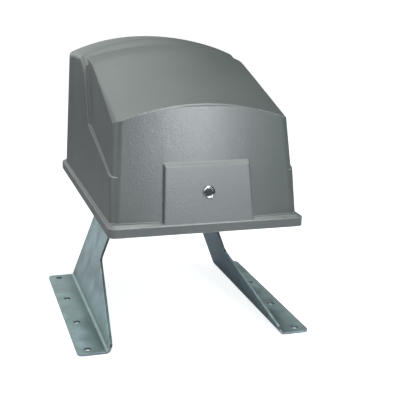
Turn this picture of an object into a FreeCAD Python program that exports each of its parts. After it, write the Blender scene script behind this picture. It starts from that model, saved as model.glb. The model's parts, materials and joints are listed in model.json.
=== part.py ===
import FreeCAD, Part
import math
import os

from FreeCAD import Vector

os.makedirs("parts", exist_ok=True)

# Swing gate operator. Millimetres, +Z up, Z = 0 is the pad that the feet stand on.
# -Y is the lock side, and X = 0 is the plane of symmetry of the case and legs.

# Fits shared by the pieces
run_gap = 0.04        # radial play of a shaft in its bearing
press_gap = 0.02      # radial play of a pressed or located piece
seat_gap = 0.3        # space between a moving piece and the piece it comes to rest on
hole_gap = 0.3        # radial play of a bolt in a plain hole

# Cover
lip_width = 375.0
lip_depth = 606.0
lip_bottom = 248.0
lip_band = 17.0       # upright band of the lip
lip_rise = 5.0        # sloped shoulder from the band up to the walls
lip_overhang = 9.0    # in front of and behind the walls
lip_side_overhang = 6.0
lip_corner_r = 14.0
wall = 4.0
front_lean = 0.176    # run per unit of height, as are the drafts
hood_draft = 0.041
nose_draft = 0.075
back_draft = 0.05
front_bulge = 8.0     # bow of the front wall between its corners
front_corner_r = 18.0
back_corner_r = 34.0
nose_inset = 0.8
hood_setback = 1.0
crown_r = 460.0
nose_edge_z = 478.5   # front edge of the sloped roof on the centre line
nose_slope = 0.304
nose_bend_y = 2.0
nose_bend_r = 160.0
nose_top_slope = 0.06
hood_top_z = 572.0
hood_crown_r = 400.0
hood_fall_r = 1800.0  # of the hood's roof in side view, level at its front
roof_edge_r = 14.0
hood_edge_r = 12.0
skirt_length = 12.0   # slanted trim below the roof's edge radius
skirt_deg = 15.0
edge_facets = 3
front_edge_r = 8.0
edge_span = 1.15      # share of the half width at which the facets meet the sharp edge again
form_spare = 60.0     # height of the walls above the roof before it is cut, and of the nose under the hood
cut_over = 1.0        # by which one cut runs into the next
pocket_rise = 2.0     # of the hollow behind the panel above the lip
brow_length = 34.0    # soft ramp from the nose up to the hood
brow_r = 70.0
brow_sink = 0.4
brow_spare = 2.0
step_top_y = 48.0     # line in side view where the rear hood stands proud
step_shoulder_z = 519.0
step_kink_y = -27.0
step_kink_z = 407.0
step_slope = 0.235
step_slant = 0.6      # of the step's face in plan view

# Raised panel for the lock
panel_half_top = 81.0
panel_half_base = 86.0
panel_top_z = 376.0
panel_proud = 7.0
panel_edge_r = 3.0

# Cam lock
lock_z = 322.0
lock_bezel_r = 12.0
lock_bezel_t = 3.5
lock_body_r = 9.4
lock_body_length = 26.0
lock_plug_r = 6.5
lock_nut_flats = 25.0
lock_nut_t = 5.0
cam_t = 3.0
cam_width = 14.0
cam_reach = 36.0
cam_tail_r = 5.0
cam_tip_r = 2.0
cam_screw_r = 4.5
cam_screw_t = 3.5
key_slot_width = 1.6
key_slot_height = 8.0
key_slot_depth = 2.5
plug_recess = 0.8     # of the plug's face below the bezel
bezel_edge = 2.5

# Legs, bent from plate
leg_t = 5.0
leg_bend_r = 6.0
foot_outer_x = 238.0
foot_inner_x = 177.0
foot_front_inset = 58.0   # of the feet from the front and the back of the cover's lip
foot_back_inset = 98.0
foot_corner_r = 10.0
web_lean = 0.375
web_front_z = 16.0    # height of the web at the front end of the foot
web_shoulder_reach = 27.0 # from the first leg bolt to the front of the upper web
web_shoulder_z = 98.0
web_tip_r = 6.0
web_shoulder_r = 12.0
tab_width = 50.0
anchor_r = 7.0
anchor_inset = 21.0   # of the end holes from the ends of the foot
anchor_count = 4
anchor_x = 215.5
leg_bolt_r = 5.0
leg_bolt_front = 66.0 # from the gearbox to the first bolt
leg_bolt_back = 26.0  # from the last bolt to the batteries
leg_bolt_count = 3
bolt_flats = 17.0
bolt_head = 7.0
bolt_end = 2.0        # thread left past a nut
nut_flange_r = 10.2
nut_flange_t = 1.5

# Tray
tray_t = 4.0
tray_rise = 2.0       # of the tray above the cover's lower edge
rim_t = 3.0
tray_side_gap = 1.5
conduit_r = 17.0
conduit_x = 110.0
conduit_setback = 36.0 # behind the foot of the front wall
bushing_wall = 3.0
bushing_flange = 4.0
small_screw_r = 2.5
small_head_r = 4.75
small_head_h = 3.0

# Keeper that the lock's cam turns under
catch_left = 18.0
catch_width = 28.0
catch_setback = 48.0
catch_t = 3.0
catch_foot = 26.0
catch_play = 2.5      # between the locked cam and the tongue above it
catch_screw_shares = (0.28, 0.72)

# Gearbox
box_setback = 117.0   # of the output shaft behind the control panel
box_top_rise = 2.0    # of the box above the worm's tunnel
mesh_z = 325.0        # mid plane of the wheel and axis of the worm
gear_module = 4.0
wheel_teeth = 30
worm_pitch_r = 18.0
worm_turns = 4.0
pressure_deg = 20.0
root_depth = 1.25     # root below the pitch line, in modules
wheel_face = 24.0
chamber_gap = 2.5
box_wall = 9.5
box_flange_t = 12.0
box_flange_side = 16.0
box_flange_end = 8.0
box_flange_worm = 5.0
box_flange_r = 12.0
box_bolt_r = 5.0
box_bolt_inset = 14.0
floor_gap = 6.0       # below the wheel
seat_web = 7.0        # metal above the lower bearing
lid_t = 12.0
lid_seat = 1.0        # metal under the upper bearing
lid_boss_r = 40.0
lid_boss_h = 18.0
lid_spigot = 4.0
lid_spigot_wall = 8.0
lid_edge = 3.0
lid_screw_r = 2.5
lid_screw_head_r = 4.25
lid_screw_head_h = 5.0
lid_screw_count = 6
lid_screw_depth = 14.0
rib_t = 8.0
rib_reach = 12.0
rib_degs = (135.0, 180.0, 225.0)
rib_drop = 16.0
pillar_half = 12.0
thread_sink = 1.0     # of the thread's foot into the worm's core
thread_share = 0.42   # thickness at the pitch line, as a share of the pitch
tooth_share = 0.40
tunnel_r = 33.0
tunnel_half = 70.0
worm_bearing_r = 26.0
worm_bearing_w = 15.0
worm_journal_r = 10.0
bearing_inset = 2.0   # of the worm's bearings from the ends of the tunnel
bearing_recess = 0.6
end_cap_t = 8.0
end_cap_edge = 4.0

# Output shaft
shaft_r = 15.0
collar_r = 20.0
wheel_seat_r = 17.0
cam_seat_r = 12.0
cam_seat_rise = 4.0
shaft_edge = 1.5
shaft_space = 1.5     # round the shaft where it passes through the castings
stub_r = 12.7
stub_length = 54.0
stub_key_width = 8.0
stub_key_length = 40.0
stub_key_depth = 4.0
stub_key_deg = 40.0   # turn of the stub's key seat from the front, seen from above
shaft_end = 20.0      # shaft left above the limit cams
spacer_wall = 5.0
output_bearing_r = 31.0
output_bearing_w = 16.0
seal_r = 23.5
seal_w = 7.0
seal_inset = 2.0
seal_lip = 3.0
wheel_key_width = 8.0
wheel_key_height = 7.0
wheel_key_depth = 4.0
wheel_key_end = 1.0
wheel_recess = 6.0
wheel_rim = 8.0
wheel_hub = 11.0

# Limit cams and their sensors
limit_cam_r = 26.0
limit_lobe_r = 32.0
limit_lobe_deg = 70.0
limit_cam_t = 8.0
limit_cam_rise = 6.0
limit_cam_pitch = 16.0
limit_slit = 1.6
open_deg = 0.0
close_deg = 205.0
sensor_r = 6.0
sensor_length = 46.0
sensor_gap = 1.5
sensor_nut_flats = 17.0
sensor_nut_t = 4.0
sensor_tail = 8.0
sensor_tail_r = 4.5
sensor_x = 10.0
sensor_reach = 12.0   # of each sensor through its bracket
bracket_half = 22.0
bracket_t = 3.0
bracket_bend_r = 2.0
bracket_foot = 15.5
bracket_head = 14.0
bracket_screw_x = 12.0

# Motor
motor_r = 52.0
motor_wall = 6.0
adapter_length = 52.0
motor_space = 11.0    # between the end bell and the batteries
bell_length = 30.0
motor_shaft_r = 8.0
rotor_r = 36.0
rotor_share = 0.58    # of the frame's length, as are the three shares below
motor_bearing_r = 16.0
motor_bearing_w = 9.0
coupling_r = 16.0
coupling_length = 30.0
coupling_depth = 20.0 # from the tunnel to where the two shafts meet
shaft_meet_gap = 1.0
adapter_waist = 24.0
adapter_cone = 15.0
adapter_neck_r = 36.0
adapter_bore_r = 24.0
rotor_start_share = 0.145
magnet_gap = 2.0
magnet_deg = 120.0
brush_start_share = 0.058
brush_share = 0.13
brush_r = 18.0
bell_flange = 6.0
bell_r = 44.0
bell_edge = 10.0
bell_boss = 5.0
bell_seat = 2.0
motor_screw_r = 2.0
motor_screw_ring = 48.5
motor_screw_head_r = 3.4
motor_screw_head_h = 4.0
motor_screw_depth = 16.0
motor_screw_count = 4

# Control panel and what it carries
plate_setback = 82.0  # behind the foot of the front wall
plate_t = 2.0
plate_half = 140.0
plate_top_z = 442.0
plate_foot = 22.0
plate_screw_x = 110.0
board_half = 115.0
board_low = 340.0
board_high = 436.0
board_t = 1.6
standoff = 10.0
standoff_r = 3.0
standoff_stem_r = 1.5
standoff_head = 2.0
standoff_inset = 5.0
switch_z = 292.0
switch_xs = (-112.0, -76.0)
switch_width = 22.0
switch_height = 28.0
switch_depth = 22.0
switch_wall = 2.0
bezel_rim = 3.0
bezel_t = 2.0
well_depth = 10.0
rocker_tilt = 8.0
rocker_play = 0.8
rocker_pivot = 1.0    # behind the front of the plate
rocker_ends = 7.5     # reach of the two ends and the waist in front of the pivot
rocker_waist = 5.0
rocker_root = 1.5
rocker_belly = 5.0
rocker_dish_r = 30.0
rocker_belly_r = 6.0
reset_x = -32.0
reset_r = 5.5
reset_travel = 4.0
reset_wall = 3.0
reset_bezel = 6.0
reset_bezel_t = 3.0
reset_well = 14.0
reset_floor = 4.0
reset_stand = 1.5     # of the pressed button above its bezel
reset_edge = 0.8
siren_x = 96.0
siren_r = 22.0
siren_body_r = 17.0
siren_body = 24.0
siren_rim = 4.0
siren_dome = 9.0
siren_face_r = 13.0
siren_slot = 2.0
siren_slot_depth = 4.0
siren_slot_pitch = 5.0
siren_slots = 5
terminal_length = 40.0
terminal_pitch = 48.0
terminal_count = 4
terminal_ways = 6
terminal_depth = 12.0
terminal_height = 13.0
terminal_port = 3.6
part_inset = 11.0     # of the first part on the board from its end
relay_length = 27.0
relay_depth = 16.0
relay_height = 15.0
relay_pitch = 34.0
relay_count = 3
relay_z = 28.0        # heights on the board are from its lower edge
can_r = 9.0
can_length = 21.0
can_edge = 1.0
can_pitch = 24.0
can_x = 16.0
can_z = 36.0
sink_left = 62.0
sink_height = 56.0
sink_base = 4.0
sink_fin = 14.0
sink_fin_t = 2.0
sink_fin_pitch = 6.0
sink_fins = 8
sink_z = 26.0
chip_size = 22.0
chip_t = 2.5
chip_x = -60.0
chip_z = 60.0

# Batteries and power supply
battery_length = 151.0
battery_width = 65.0
battery_height = 94.0
battery_setback = 23.0 # from the foot of the cover's back wall
battery_space = 8.0
battery_edge_r = 3.0
seam_drop = 12.0
seam_width = 1.0
seam_depth = 0.8
tab_length = 6.3
tab_t = 0.8
tab_rise = 6.0
tab_inset = 14.0
tab_back = 10.0
supply_left = -162.0
supply_width = 86.0
supply_setback = 33.0 # behind the gearbox
supply_space = 24.0   # in front of the batteries
supply_height = 45.0
supply_edge_r = 3.0
supply_slots = 9
supply_slot = 4.0
supply_slot_depth = 2.0
supply_slot_inset = 14.0
supply_slot_start = 20.0
supply_shelf = 16.0
supply_shelf_z = 18.0
supply_ways = 7
strip_inset = 6.0
strip_depth = 13.0
strip_height = 14.0
strip_fence = 2.0
strip_bay = 8.0
strap_t = 3.0
strap_width = 26.0
strap_bend_r = 2.0
strap_foot = 15.0
strap_screw_x = 8.5   # from the strap's upright leg

# Places worked out from the sizes above
shoulder_z = lip_bottom + lip_band
base_z = shoulder_z + lip_rise
ledge_z = shoulder_z - 0.5 * wall
body_half = lip_width / 2 - lip_side_overhang
body_front = -lip_depth / 2 + lip_overhang
body_back = lip_depth / 2 - lip_overhang
nose_edge_y = body_front + front_lean * (nose_edge_z - base_z)
nose_bend_z = nose_edge_z + nose_slope * (nose_bend_y - nose_edge_y)
tray_bottom = lip_bottom + tray_rise
tray_top = tray_bottom + tray_t
tray_half = lip_width / 2 - wall - tray_side_gap
tray_end = lip_depth / 2 - wall - tray_side_gap
tab_bottom = tray_bottom - leg_t
tab_root_x = foot_inner_x - web_lean * tab_bottom
tab_bolt_x = tab_root_x - tab_width / 2
foot_front_y = -lip_depth / 2 + foot_front_inset
foot_back_y = lip_depth / 2 - foot_back_inset
anchor_mid_y = (foot_front_y + foot_back_y) / 2
anchor_pitch = (foot_back_y - foot_front_y - 2 * anchor_inset) / (anchor_count - 1)
conduit_y = body_front + conduit_setback
catch_y = body_front + catch_setback
panel_y = body_front + plate_setback   # front face of the upright plate
box_y = panel_y + box_setback          # axis of the output shaft, on X = 0
battery_y = body_back - battery_setback - battery_width
stub_bottom_z = tray_bottom - stub_length
wheel_pitch_r = gear_module * wheel_teeth / 2
mesh_x = wheel_pitch_r + worm_pitch_r
tooth_pitch = math.pi * gear_module
chamber_r = wheel_pitch_r + gear_module + chamber_gap
box_r = chamber_r + box_wall
box_left = -box_r - box_flange_side
box_right = mesh_x + tunnel_r + box_flange_worm
box_front = box_y - box_r - box_flange_end
box_back = box_y + box_r + box_flange_end
first_leg_bolt = box_back + leg_bolt_front
leg_bolt_pitch = (battery_y - leg_bolt_back - first_leg_bolt) / (leg_bolt_count - 1)
leg_bolt_ys = [first_leg_bolt + i * leg_bolt_pitch for i in range(leg_bolt_count)]
web_shoulder_y = first_leg_bolt - web_shoulder_reach
wheel_z = mesh_z - wheel_face / 2
wheel_top = wheel_z + wheel_face
chamber_floor_z = wheel_z - floor_gap
box_top_z = mesh_z + tunnel_r + box_top_rise
lid_top = box_top_z + lid_t
boss_top = lid_top + lid_boss_h
lower_bearing_z = chamber_floor_z - output_bearing_w - seat_web
collar_z = lower_bearing_z + output_bearing_w + seat_gap
upper_bearing_z = box_top_z + lid_seat
upper_bearing_top = upper_bearing_z + output_bearing_w
open_cam_z = boss_top + limit_cam_rise
close_cam_z = open_cam_z + limit_cam_pitch
shaft_top_z = close_cam_z + limit_cam_t + shaft_end
tunnel_back = box_y + tunnel_half
tunnel_front = box_y - tunnel_half
motor_front = tunnel_back + adapter_length
motor_back = battery_y - motor_space - bell_length
motor_length = motor_back - motor_front
rotor_length = rotor_share * motor_length
rotor_start = rotor_start_share * motor_length
brush_start = brush_start_share * motor_length
brush_length = brush_share * motor_length
shaft_meet = tunnel_back + coupling_depth
strap_side = battery_length + battery_space / 2 + seat_gap
strap_screw = strap_side + strap_t + strap_screw_x
supply_front = box_back + supply_setback
supply_back = battery_y - supply_space
lock_axis = Vector(0, -1, front_lean).normalize()
lock_face = Vector(0, body_front - panel_proud + front_lean * (lock_z - base_z), lock_z)
sensor_face_y = box_y + limit_lobe_r + sensor_gap
sensor_wall_y = sensor_face_y + sensor_reach
plate_back = panel_y + plate_t
board_back = panel_y - standoff
board_front = board_back - board_t
first_part = -board_half + part_inset
up = Vector(0, 0, 1)
rearward = Vector(0, 1, 0)


def block(x0, x1, y0, y1, z0, z1):
    return Part.makeBox(x1 - x0, y1 - y0, z1 - z0, Vector(x0, y0, z0))


def rod(radius, length, base, axis=up):
    return Part.makeCylinder(radius, length, base, axis)


def tube(outer, inner, length, base, axis=up):
    return rod(outer, length, base, axis).cut(rod(inner, length, base, axis))


def union(shapes):
    return shapes[0].multiFuse(shapes[1:]).removeSplitter()


def group(shapes):
    return Part.makeCompound(shapes)


def rounded_wire(points, radii):
    # Closed outline through the points, with an arc of the given radius at each corner
    starts = []
    ends = []
    mids = []
    count = len(points)
    for i, corner in enumerate(points):
        back = (points[i - 1] - corner).normalize()
        ahead = (points[(i + 1) % count] - corner).normalize()
        radius = radii[i]
        half = back.getAngle(ahead) / 2
        inward = (back + ahead).normalize()
        starts.append(corner + back * (radius / math.tan(half)))
        ends.append(corner + ahead * (radius / math.tan(half)))
        mids.append(corner + inward * (radius / math.sin(half) - radius))
    edges = []
    for i in range(count):
        if radii[i] > 0:
            edges.append(Part.Arc(starts[i], mids[i], ends[i]).toShape())
        after = starts[(i + 1) % count]
        if ends[i].distanceToPoint(after) > 1e-6:
            edges.append(Part.LineSegment(ends[i], after).toShape())
    return Part.Wire(edges)


def plate(points, radii, depth):
    return Part.Face(rounded_wire(points, radii)).extrude(depth)


def rounded_block(half_x, y0, y1, radius, z0, z1):
    return rounded_slab(-half_x, half_x, y0, y1, radius, z0, z1)


def rounded_slab(x0, x1, y0, y1, radius, z0, z1):
    corners = [Vector(x0, y0, z0), Vector(x1, y0, z0), Vector(x1, y1, z0), Vector(x0, y1, z0)]
    return plate(corners, [radius] * 4, Vector(0, 0, z1 - z0))


def bent_sheet(points, thickness, bend_r, depth):
    # Sheet whose right-hand side, looking along the points, stands the thickness away from them
    normal = Vector(depth).normalize()
    sides = []
    for first, second in zip(points, points[1:]):
        sides.append((second - first).normalize().cross(normal) * -1)
    far = [points[0] + sides[0] * thickness]
    near_r = [0.0]
    far_r = [0.0]
    for i in range(1, len(points) - 1):
        before = sides[i - 1]
        after = sides[i]
        far.append(points[i] + (before + after) * (thickness / (1 + before.dot(after))))
        turns_away = (points[i + 1] - points[i]).dot(before) < 0
        near_r.append(bend_r if turns_away else bend_r + thickness)
        far_r.append(bend_r + thickness if turns_away else bend_r)
    far.append(points[-1] + sides[-1] * thickness)
    near_r.append(0.0)
    far_r.append(0.0)
    return plate(points + far[::-1], near_r + far_r[::-1], depth)


def hexagon(flats, length, base, axis):
    radius = flats / math.sqrt(3)
    corners = ring_places(6, radius, Vector(0, 0, 0), 0.0)
    prism = plate(corners, [0.0] * 6, Vector(0, 0, length))
    prism.Placement = FreeCAD.Placement(base, FreeCAD.Rotation(Vector(0, 0, 1), axis))
    return prism


def ring_places(count, radius, middle, start_deg):
    places = []
    for i in range(count):
        angle = math.radians(start_deg + 360.0 * i / count)
        places.append(middle + Vector(radius * math.cos(angle), radius * math.sin(angle), 0))
    return places


def turned(profile, base, axis):
    # Turned piece from (radius, distance along the axis) points
    points = [Vector(r, 0, h) for r, h in profile]
    face = Part.Face(Part.makePolygon(points + [points[0]]))
    solid = face.revolve(Vector(0, 0, 0), Vector(0, 0, 1), 360)
    solid.Placement = FreeCAD.Placement(base, FreeCAD.Rotation(Vector(0, 0, 1), axis))
    return solid


def mirrored(shape):
    return shape.mirror(Vector(0, 0, 0), Vector(1, 0, 0))


def screw(radius, length, head_r, head_h, seat, axis):
    # Round-head screw whose head sits on the seat point and whose shank runs against the axis
    head = rod(head_r, head_h, seat, axis)
    return head.fuse(rod(radius, length, seat, axis * -1)).removeSplitter()


def wall_spans(z, hood, inset):
    # Half width, front and back of the drafted walls at a height, with the front taken at its corners
    rise = z - base_z
    draft = hood_draft if hood else nose_draft
    step = 0.0 if hood else nose_inset
    half = body_half - draft * rise - inset - step
    front = body_front + front_bulge + front_lean * rise + inset + (hood_setback if hood else 0.0)
    back = body_back - back_draft * rise - inset - step
    return half, front, back


def drafted_walls(hood, inset, foot_z, top_z):
    # Tapered block with rounded upright corners
    low_half, low_front, low_back = wall_spans(foot_z, hood, inset)
    high_half, high_front, high_back = wall_spans(top_z, hood, inset)
    solid = Part.makeWedge(
        -low_half, foot_z, -low_back, -high_back, -high_half,
        low_half, top_z, -low_front, -high_front, high_half)
    solid.rotate(Vector(0, 0, 0), Vector(1, 0, 0), 90)
    for radius, is_front in ((front_corner_r, True), (back_corner_r, False)):
        corners = []
        for edge in solid.Edges:
            ends = [vertex.Point for vertex in edge.Vertexes]
            upright = abs(ends[0].z - ends[-1].z) > (top_z - foot_z) / 2
            if upright and (edge.CenterOfMass.y < 0) == is_front:
                corners.append(edge)
        solid = solid.makeFillet(radius - inset, corners)
    return solid


def front_bow(inset, foot_z, top_z):
    # Shallow outward bow of the front wall between its rounded corners
    lean = Vector(0, front_lean, 1).normalize()
    inward = Vector(0, 1, -front_lean).normalize()
    edge_x = body_half - front_corner_r - nose_draft * (nose_edge_z - base_z) - nose_inset
    bow_r = (edge_x ** 2 + front_bulge ** 2) / (2 * front_bulge)
    crest = Vector(0, body_front + inset + front_lean * (foot_z - base_z), foot_z)
    cylinder = rod(bow_r, 2 * lip_depth, crest + inward * bow_r - lean * lip_depth, lean)
    depth = front_bulge + wall
    low = [crest + Vector(-edge_x, 0, 0), crest + Vector(edge_x, 0, 0)]
    low += [crest + Vector(edge_x, depth, 0), crest + Vector(-edge_x, depth, 0)]
    rise = top_z - foot_z
    return plate(low, [0.0] * 4, Vector(0, front_lean * rise, rise)).common(cylinder)


def crown_cut(path, half, draft, edge_r, radius, inset):
    # Everything above a crowned roof that follows the path in the YZ plane.
    # The crown rolls over an edge radius into walls that stand at the half width below the crest.
    crown = radius - inset
    edge = edge_r - inset
    side = half - inset
    slant = math.sqrt(1 + draft ** 2)
    gap = side - edge * slant
    a = 1 + draft ** 2
    b = crown - gap * draft
    c = gap ** 2 + crown ** 2 - (crown - edge) ** 2
    drop = (-b + math.sqrt(b ** 2 - a * c)) / a
    turn_x = gap - draft * drop
    share = crown / (crown - edge)
    roll = Vector(turn_x * share, (drop + crown) * share - crown, 0)
    foot = Vector(turn_x + edge / slant, drop + edge * draft / slant, 0)
    toward = (Vector(turn_x, drop + crown, 0).normalize() + Vector(1 / slant, draft / slant, 0)).normalize()
    middle = Vector(turn_x, drop, 0) + toward * edge
    reach = lip_width / 2 + lip_overhang
    start = path.Edges[0].Vertexes[0].Point
    along = (path.Edges[0].Vertexes[1].Point - start).normalize()
    roof_up = Vector(1, 0, 0).cross(along)
    crest = start - roof_up * inset

    def at(point, sign=1):
        return crest + Vector(sign * point.x, 0, 0) + roof_up * point.y

    lean = math.radians(skirt_deg)
    skirt = foot + Vector(skirt_length * math.sin(lean), -skirt_length * math.cos(lean), 0)
    low_out = Vector(reach, skirt.y, 0)
    high_out = Vector(reach, lip_depth, 0)
    profile = Part.Wire([
        Part.Arc(at(foot, -1), at(middle, -1), at(roll, -1)).toShape(),
        Part.Arc(at(roll, -1), crest, at(roll)).toShape(),
        Part.Arc(at(roll), at(middle), at(foot)).toShape(),
        Part.LineSegment(at(foot), at(skirt)).toShape(),
        Part.LineSegment(at(skirt), at(low_out)).toShape(),
        Part.LineSegment(at(low_out), at(high_out)).toShape(),
        Part.LineSegment(at(high_out), at(high_out, -1)).toShape(),
        Part.LineSegment(at(high_out, -1), at(low_out, -1)).toShape(),
        Part.LineSegment(at(low_out, -1), at(skirt, -1)).toShape(),
        Part.LineSegment(at(skirt, -1), at(foot, -1)).toShape(),
    ])
    return path.makePipe(Part.Face(profile))


def edge_cuts(corner, roof_normal, wall_normal, crown, wall_drop, edge_r, inset):
    # Narrow crowned facets that round off the edge where the roof meets the front or back wall
    crown_x = body_half * edge_span
    roof_drop = crown - math.sqrt(crown ** 2 - crown_x ** 2)
    edge = edge_r - inset
    bend = 1 + roof_normal.dot(wall_normal)
    shift = (roof_normal + wall_normal) * (inset / bend)
    centre = corner - shift - (roof_normal + wall_normal) * (edge / bend)
    cuts = []
    for i in range(1, edge_facets + 1):
        turn = i / (edge_facets + 1) * math.pi / 2
        blend = roof_normal * math.cos(turn) + wall_normal * math.sin(turn)
        normal = blend / blend.Length
        drop = (roof_drop * math.cos(turn) + wall_drop * math.sin(turn)) / blend.Length
        along = normal.cross(Vector(1, 0, 0))
        crest = centre + normal * edge
        radius = (crown_x ** 2 + drop ** 2) / (2 * drop)
        reach = lip_width / 2
        low = normal * (radius - math.sqrt(radius ** 2 - reach ** 2))
        left = crest - Vector(reach, 0, 0) - low - along * reach
        right = crest + Vector(reach, 0, 0) - low - along * reach
        lift = normal * lip_depth
        profile = Part.Wire([
            Part.Arc(left, crest - along * reach, right).toShape(),
            Part.LineSegment(right, right + lift).toShape(),
            Part.LineSegment(right + lift, left + lift).toShape(),
            Part.LineSegment(left + lift, left).toShape(),
        ])
        cuts.append(Part.Face(profile).extrude(along * (2 * reach)))
    return cuts


def bent_edges(start, bend, end, radius):
    # Two straight runs with an arc between them
    ahead = (end - bend).normalize()
    back = (start - bend).normalize()
    turn = (math.pi - ahead.getAngle(back)) / 2
    first = bend + back * (radius * math.tan(turn))
    last = bend + ahead * (radius * math.tan(turn))
    middle = bend + (ahead + back).normalize() * (radius / math.cos(turn) - radius)
    return [
        Part.LineSegment(start, first).toShape(),
        Part.Arc(first, middle, last).toShape(),
        Part.LineSegment(last, end).toShape(),
    ]


def roof_path():
    # Sloped nose, a bend, and the nearly level run that meets the hood
    run_in = lip_depth / 4
    run_out = lip_depth
    start = Vector(0, nose_edge_y - run_in, nose_edge_z - nose_slope * run_in)
    bend = Vector(0, nose_bend_y, nose_bend_z)
    end = Vector(0, nose_bend_y + run_out, nose_bend_z + nose_top_slope * run_out)
    return Part.Wire(bent_edges(start, bend, end, nose_bend_r))


def hood_path():
    # Soft ramp from the roof of the nose up to the hood, whose roof falls gently to the back
    foot = Vector(0, step_top_y, nose_bend_z + nose_top_slope * (step_top_y - nose_bend_y) - brow_sink)
    brow = Vector(0, step_top_y + brow_length, hood_top_z)
    start = foot - (brow - foot) * (body_half / brow_length)
    ramp, bend, level = bent_edges(start, brow, brow + rearward * lip_depth, brow_r)
    crest = level.Vertexes[0].Point
    middle = Vector(0, crest.y + lip_depth / 4, hood_roof_z(crest.y + lip_depth / 4, crest.y))
    end = Vector(0, crest.y + lip_depth / 2, hood_roof_z(crest.y + lip_depth / 2, crest.y))
    return Part.Wire([ramp, bend, Part.Arc(crest, middle, end).toShape()])


def hood_roof_z(y, level_y):
    return hood_top_z - hood_fall_r + math.sqrt(hood_fall_r ** 2 - (y - level_y) ** 2)


def hood_form(inset, foot_z, top_z):
    walls = drafted_walls(True, inset, foot_z, top_z)
    half = body_half - hood_draft * (hood_top_z + brow_spare - base_z)
    path = hood_path()
    level_y = path.Edges[-1].Vertexes[0].Point.y
    back_y = body_back - back_draft * (hood_top_z - base_z)
    back_z = hood_roof_z(back_y, level_y)
    back_top = Vector(0, back_y + back_draft * (hood_top_z - back_z), back_z)
    roof_normal = Vector(0, back_y - level_y, hood_fall_r).normalize()
    back_normal = Vector(0, 1, back_draft).normalize()
    rounds = edge_cuts(back_top, roof_normal, back_normal, hood_crown_r, 0.0, roof_edge_r, inset)
    return walls.cut([crown_cut(path, half, hood_draft, hood_edge_r, hood_crown_r, inset)] + rounds)


def nose_form(inset, foot_z, top_z):
    walls = drafted_walls(False, inset, foot_z, top_z).fuse(front_bow(inset, foot_z, top_z))
    half = body_half - nose_inset - nose_draft * (nose_edge_z - base_z)
    edge = Vector(0, nose_edge_y, nose_edge_z)
    roof_normal = Vector(0, -nose_slope, 1).normalize()
    front_normal = Vector(0, -1, front_lean).normalize()
    rounds = edge_cuts(edge, roof_normal, front_normal, crown_r, front_bulge, front_edge_r, inset)
    roof = crown_cut(roof_path(), half, nose_draft, roof_edge_r, crown_r, inset)
    rear = block(-lip_width, lip_width, step_top_y + form_spare, lip_depth, step_kink_z, top_z + lip_depth)
    return walls.cut([roof, rear] + rounds)


def step_cuts(inset):
    # What the hood loses in front of its step, on both sides of the centre plane.
    # The step's line is set in side view on the hood's wall, and its face slants back towards the outside.
    far = lip_depth
    line = [
        (step_top_y, hood_top_z + far),
        (step_top_y, step_shoulder_z),
        (step_kink_y, step_kink_z),
        (step_kink_y - far, step_kink_z - step_slope * far),
        (step_kink_y - far, hood_top_z + far),
    ]
    back = inset * math.sqrt(1 + step_slant ** 2)
    corners = []
    for y, z in line:
        wall_x = body_half - hood_draft * (z - base_z)
        corners.append(Vector(0, y - step_slant * wall_x + back, z - inset))
    slants = [Vector(far, step_slant * far, 0), Vector(-far, step_slant * far, 0)]
    return [plate(corners, [0.0] * len(corners), slant) for slant in slants]


def cover_form(inset, foot_z):
    # Outside of the moulding without its lip, or the same form moved inwards by the inset
    top_z = hood_top_z + form_spare
    hood = hood_form(inset, foot_z, top_z).cut(step_cuts(inset))
    return nose_form(inset, foot_z, top_z).fuse(hood)


def panel_form(inset, depth):
    # Flat pad that leans with the front wall
    low_z = shoulder_z
    top_z = panel_top_z - inset

    def place(x, z):
        return Vector(x, body_front - panel_proud + inset + front_lean * (z - base_z), z)

    corners = [
        place(-panel_half_base + inset, low_z),
        place(panel_half_base - inset, low_z),
        place(panel_half_top - inset, top_z),
        place(-panel_half_top + inset, top_z),
    ]
    pad = plate(corners, [0.0, 0.0, panel_edge_r, panel_edge_r], Vector(0, depth, 0))
    face_edges = []
    for edge in pad.Edges:
        ends = [vertex.Point for vertex in edge.Vertexes]
        on_face = all(abs(p.y - place(0, p.z).y) < 1e-4 for p in ends)
        if on_face and max(p.z for p in ends) > low_z + 1.0:
            face_edges.append(edge)
    return pad.makeFillet(panel_edge_r * 0.8, face_edges)


def lip_form(inset, top_z):
    half = lip_width / 2 - inset
    end = lip_depth / 2 - inset
    return rounded_block(half, -end, end, lip_corner_r - inset, lip_bottom, top_z)


def cover():
    lip = lip_form(0.0, base_z)
    top_edges = []
    for edge in lip.Edges:
        if min(vertex.Z for vertex in edge.Vertexes) > base_z - 0.1:
            top_edges.append(edge)
    lip = lip.makeChamfer(lip_rise, lip_overhang, top_edges)
    pad_depth = panel_proud + 0.8 * wall
    outside = union([cover_form(0.0, shoulder_z), lip, panel_form(0.0, pad_depth)])
    inside = cover_form(wall, ledge_z - cut_over)
    above_lip = block(-lip_width, lip_width, -lip_depth, 0, base_z + pocket_rise, hood_top_z)
    pocket = panel_form(wall, panel_proud + wall).common(above_lip)
    shell = outside.cut(inside).cut(lip_form(wall, ledge_z)).cut(pocket)
    bore_base = lock_face - lock_axis * lock_body_length
    bore = rod(lock_body_r + hole_gap, 2 * lock_body_length, bore_base, lock_axis)
    return shell.cut(bore)


def lock_body():
    return turned([
        (lock_plug_r + run_gap, -lock_body_length), (lock_body_r, -lock_body_length), (lock_body_r, 0.0),
        (lock_bezel_r, 0.0), (lock_bezel_r, lock_bezel_t / 2), (lock_bezel_r - bezel_edge, lock_bezel_t),
        (lock_plug_r + run_gap, lock_bezel_t),
    ], lock_face, lock_axis)


def lock_nut():
    nut_back = wall + lock_nut_t
    nut = hexagon(lock_nut_flats, lock_nut_t, lock_face - lock_axis * nut_back, lock_axis)
    return nut.cut(rod(lock_body_r + press_gap, nut_back, lock_face - lock_axis * nut_back, lock_axis))


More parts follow.
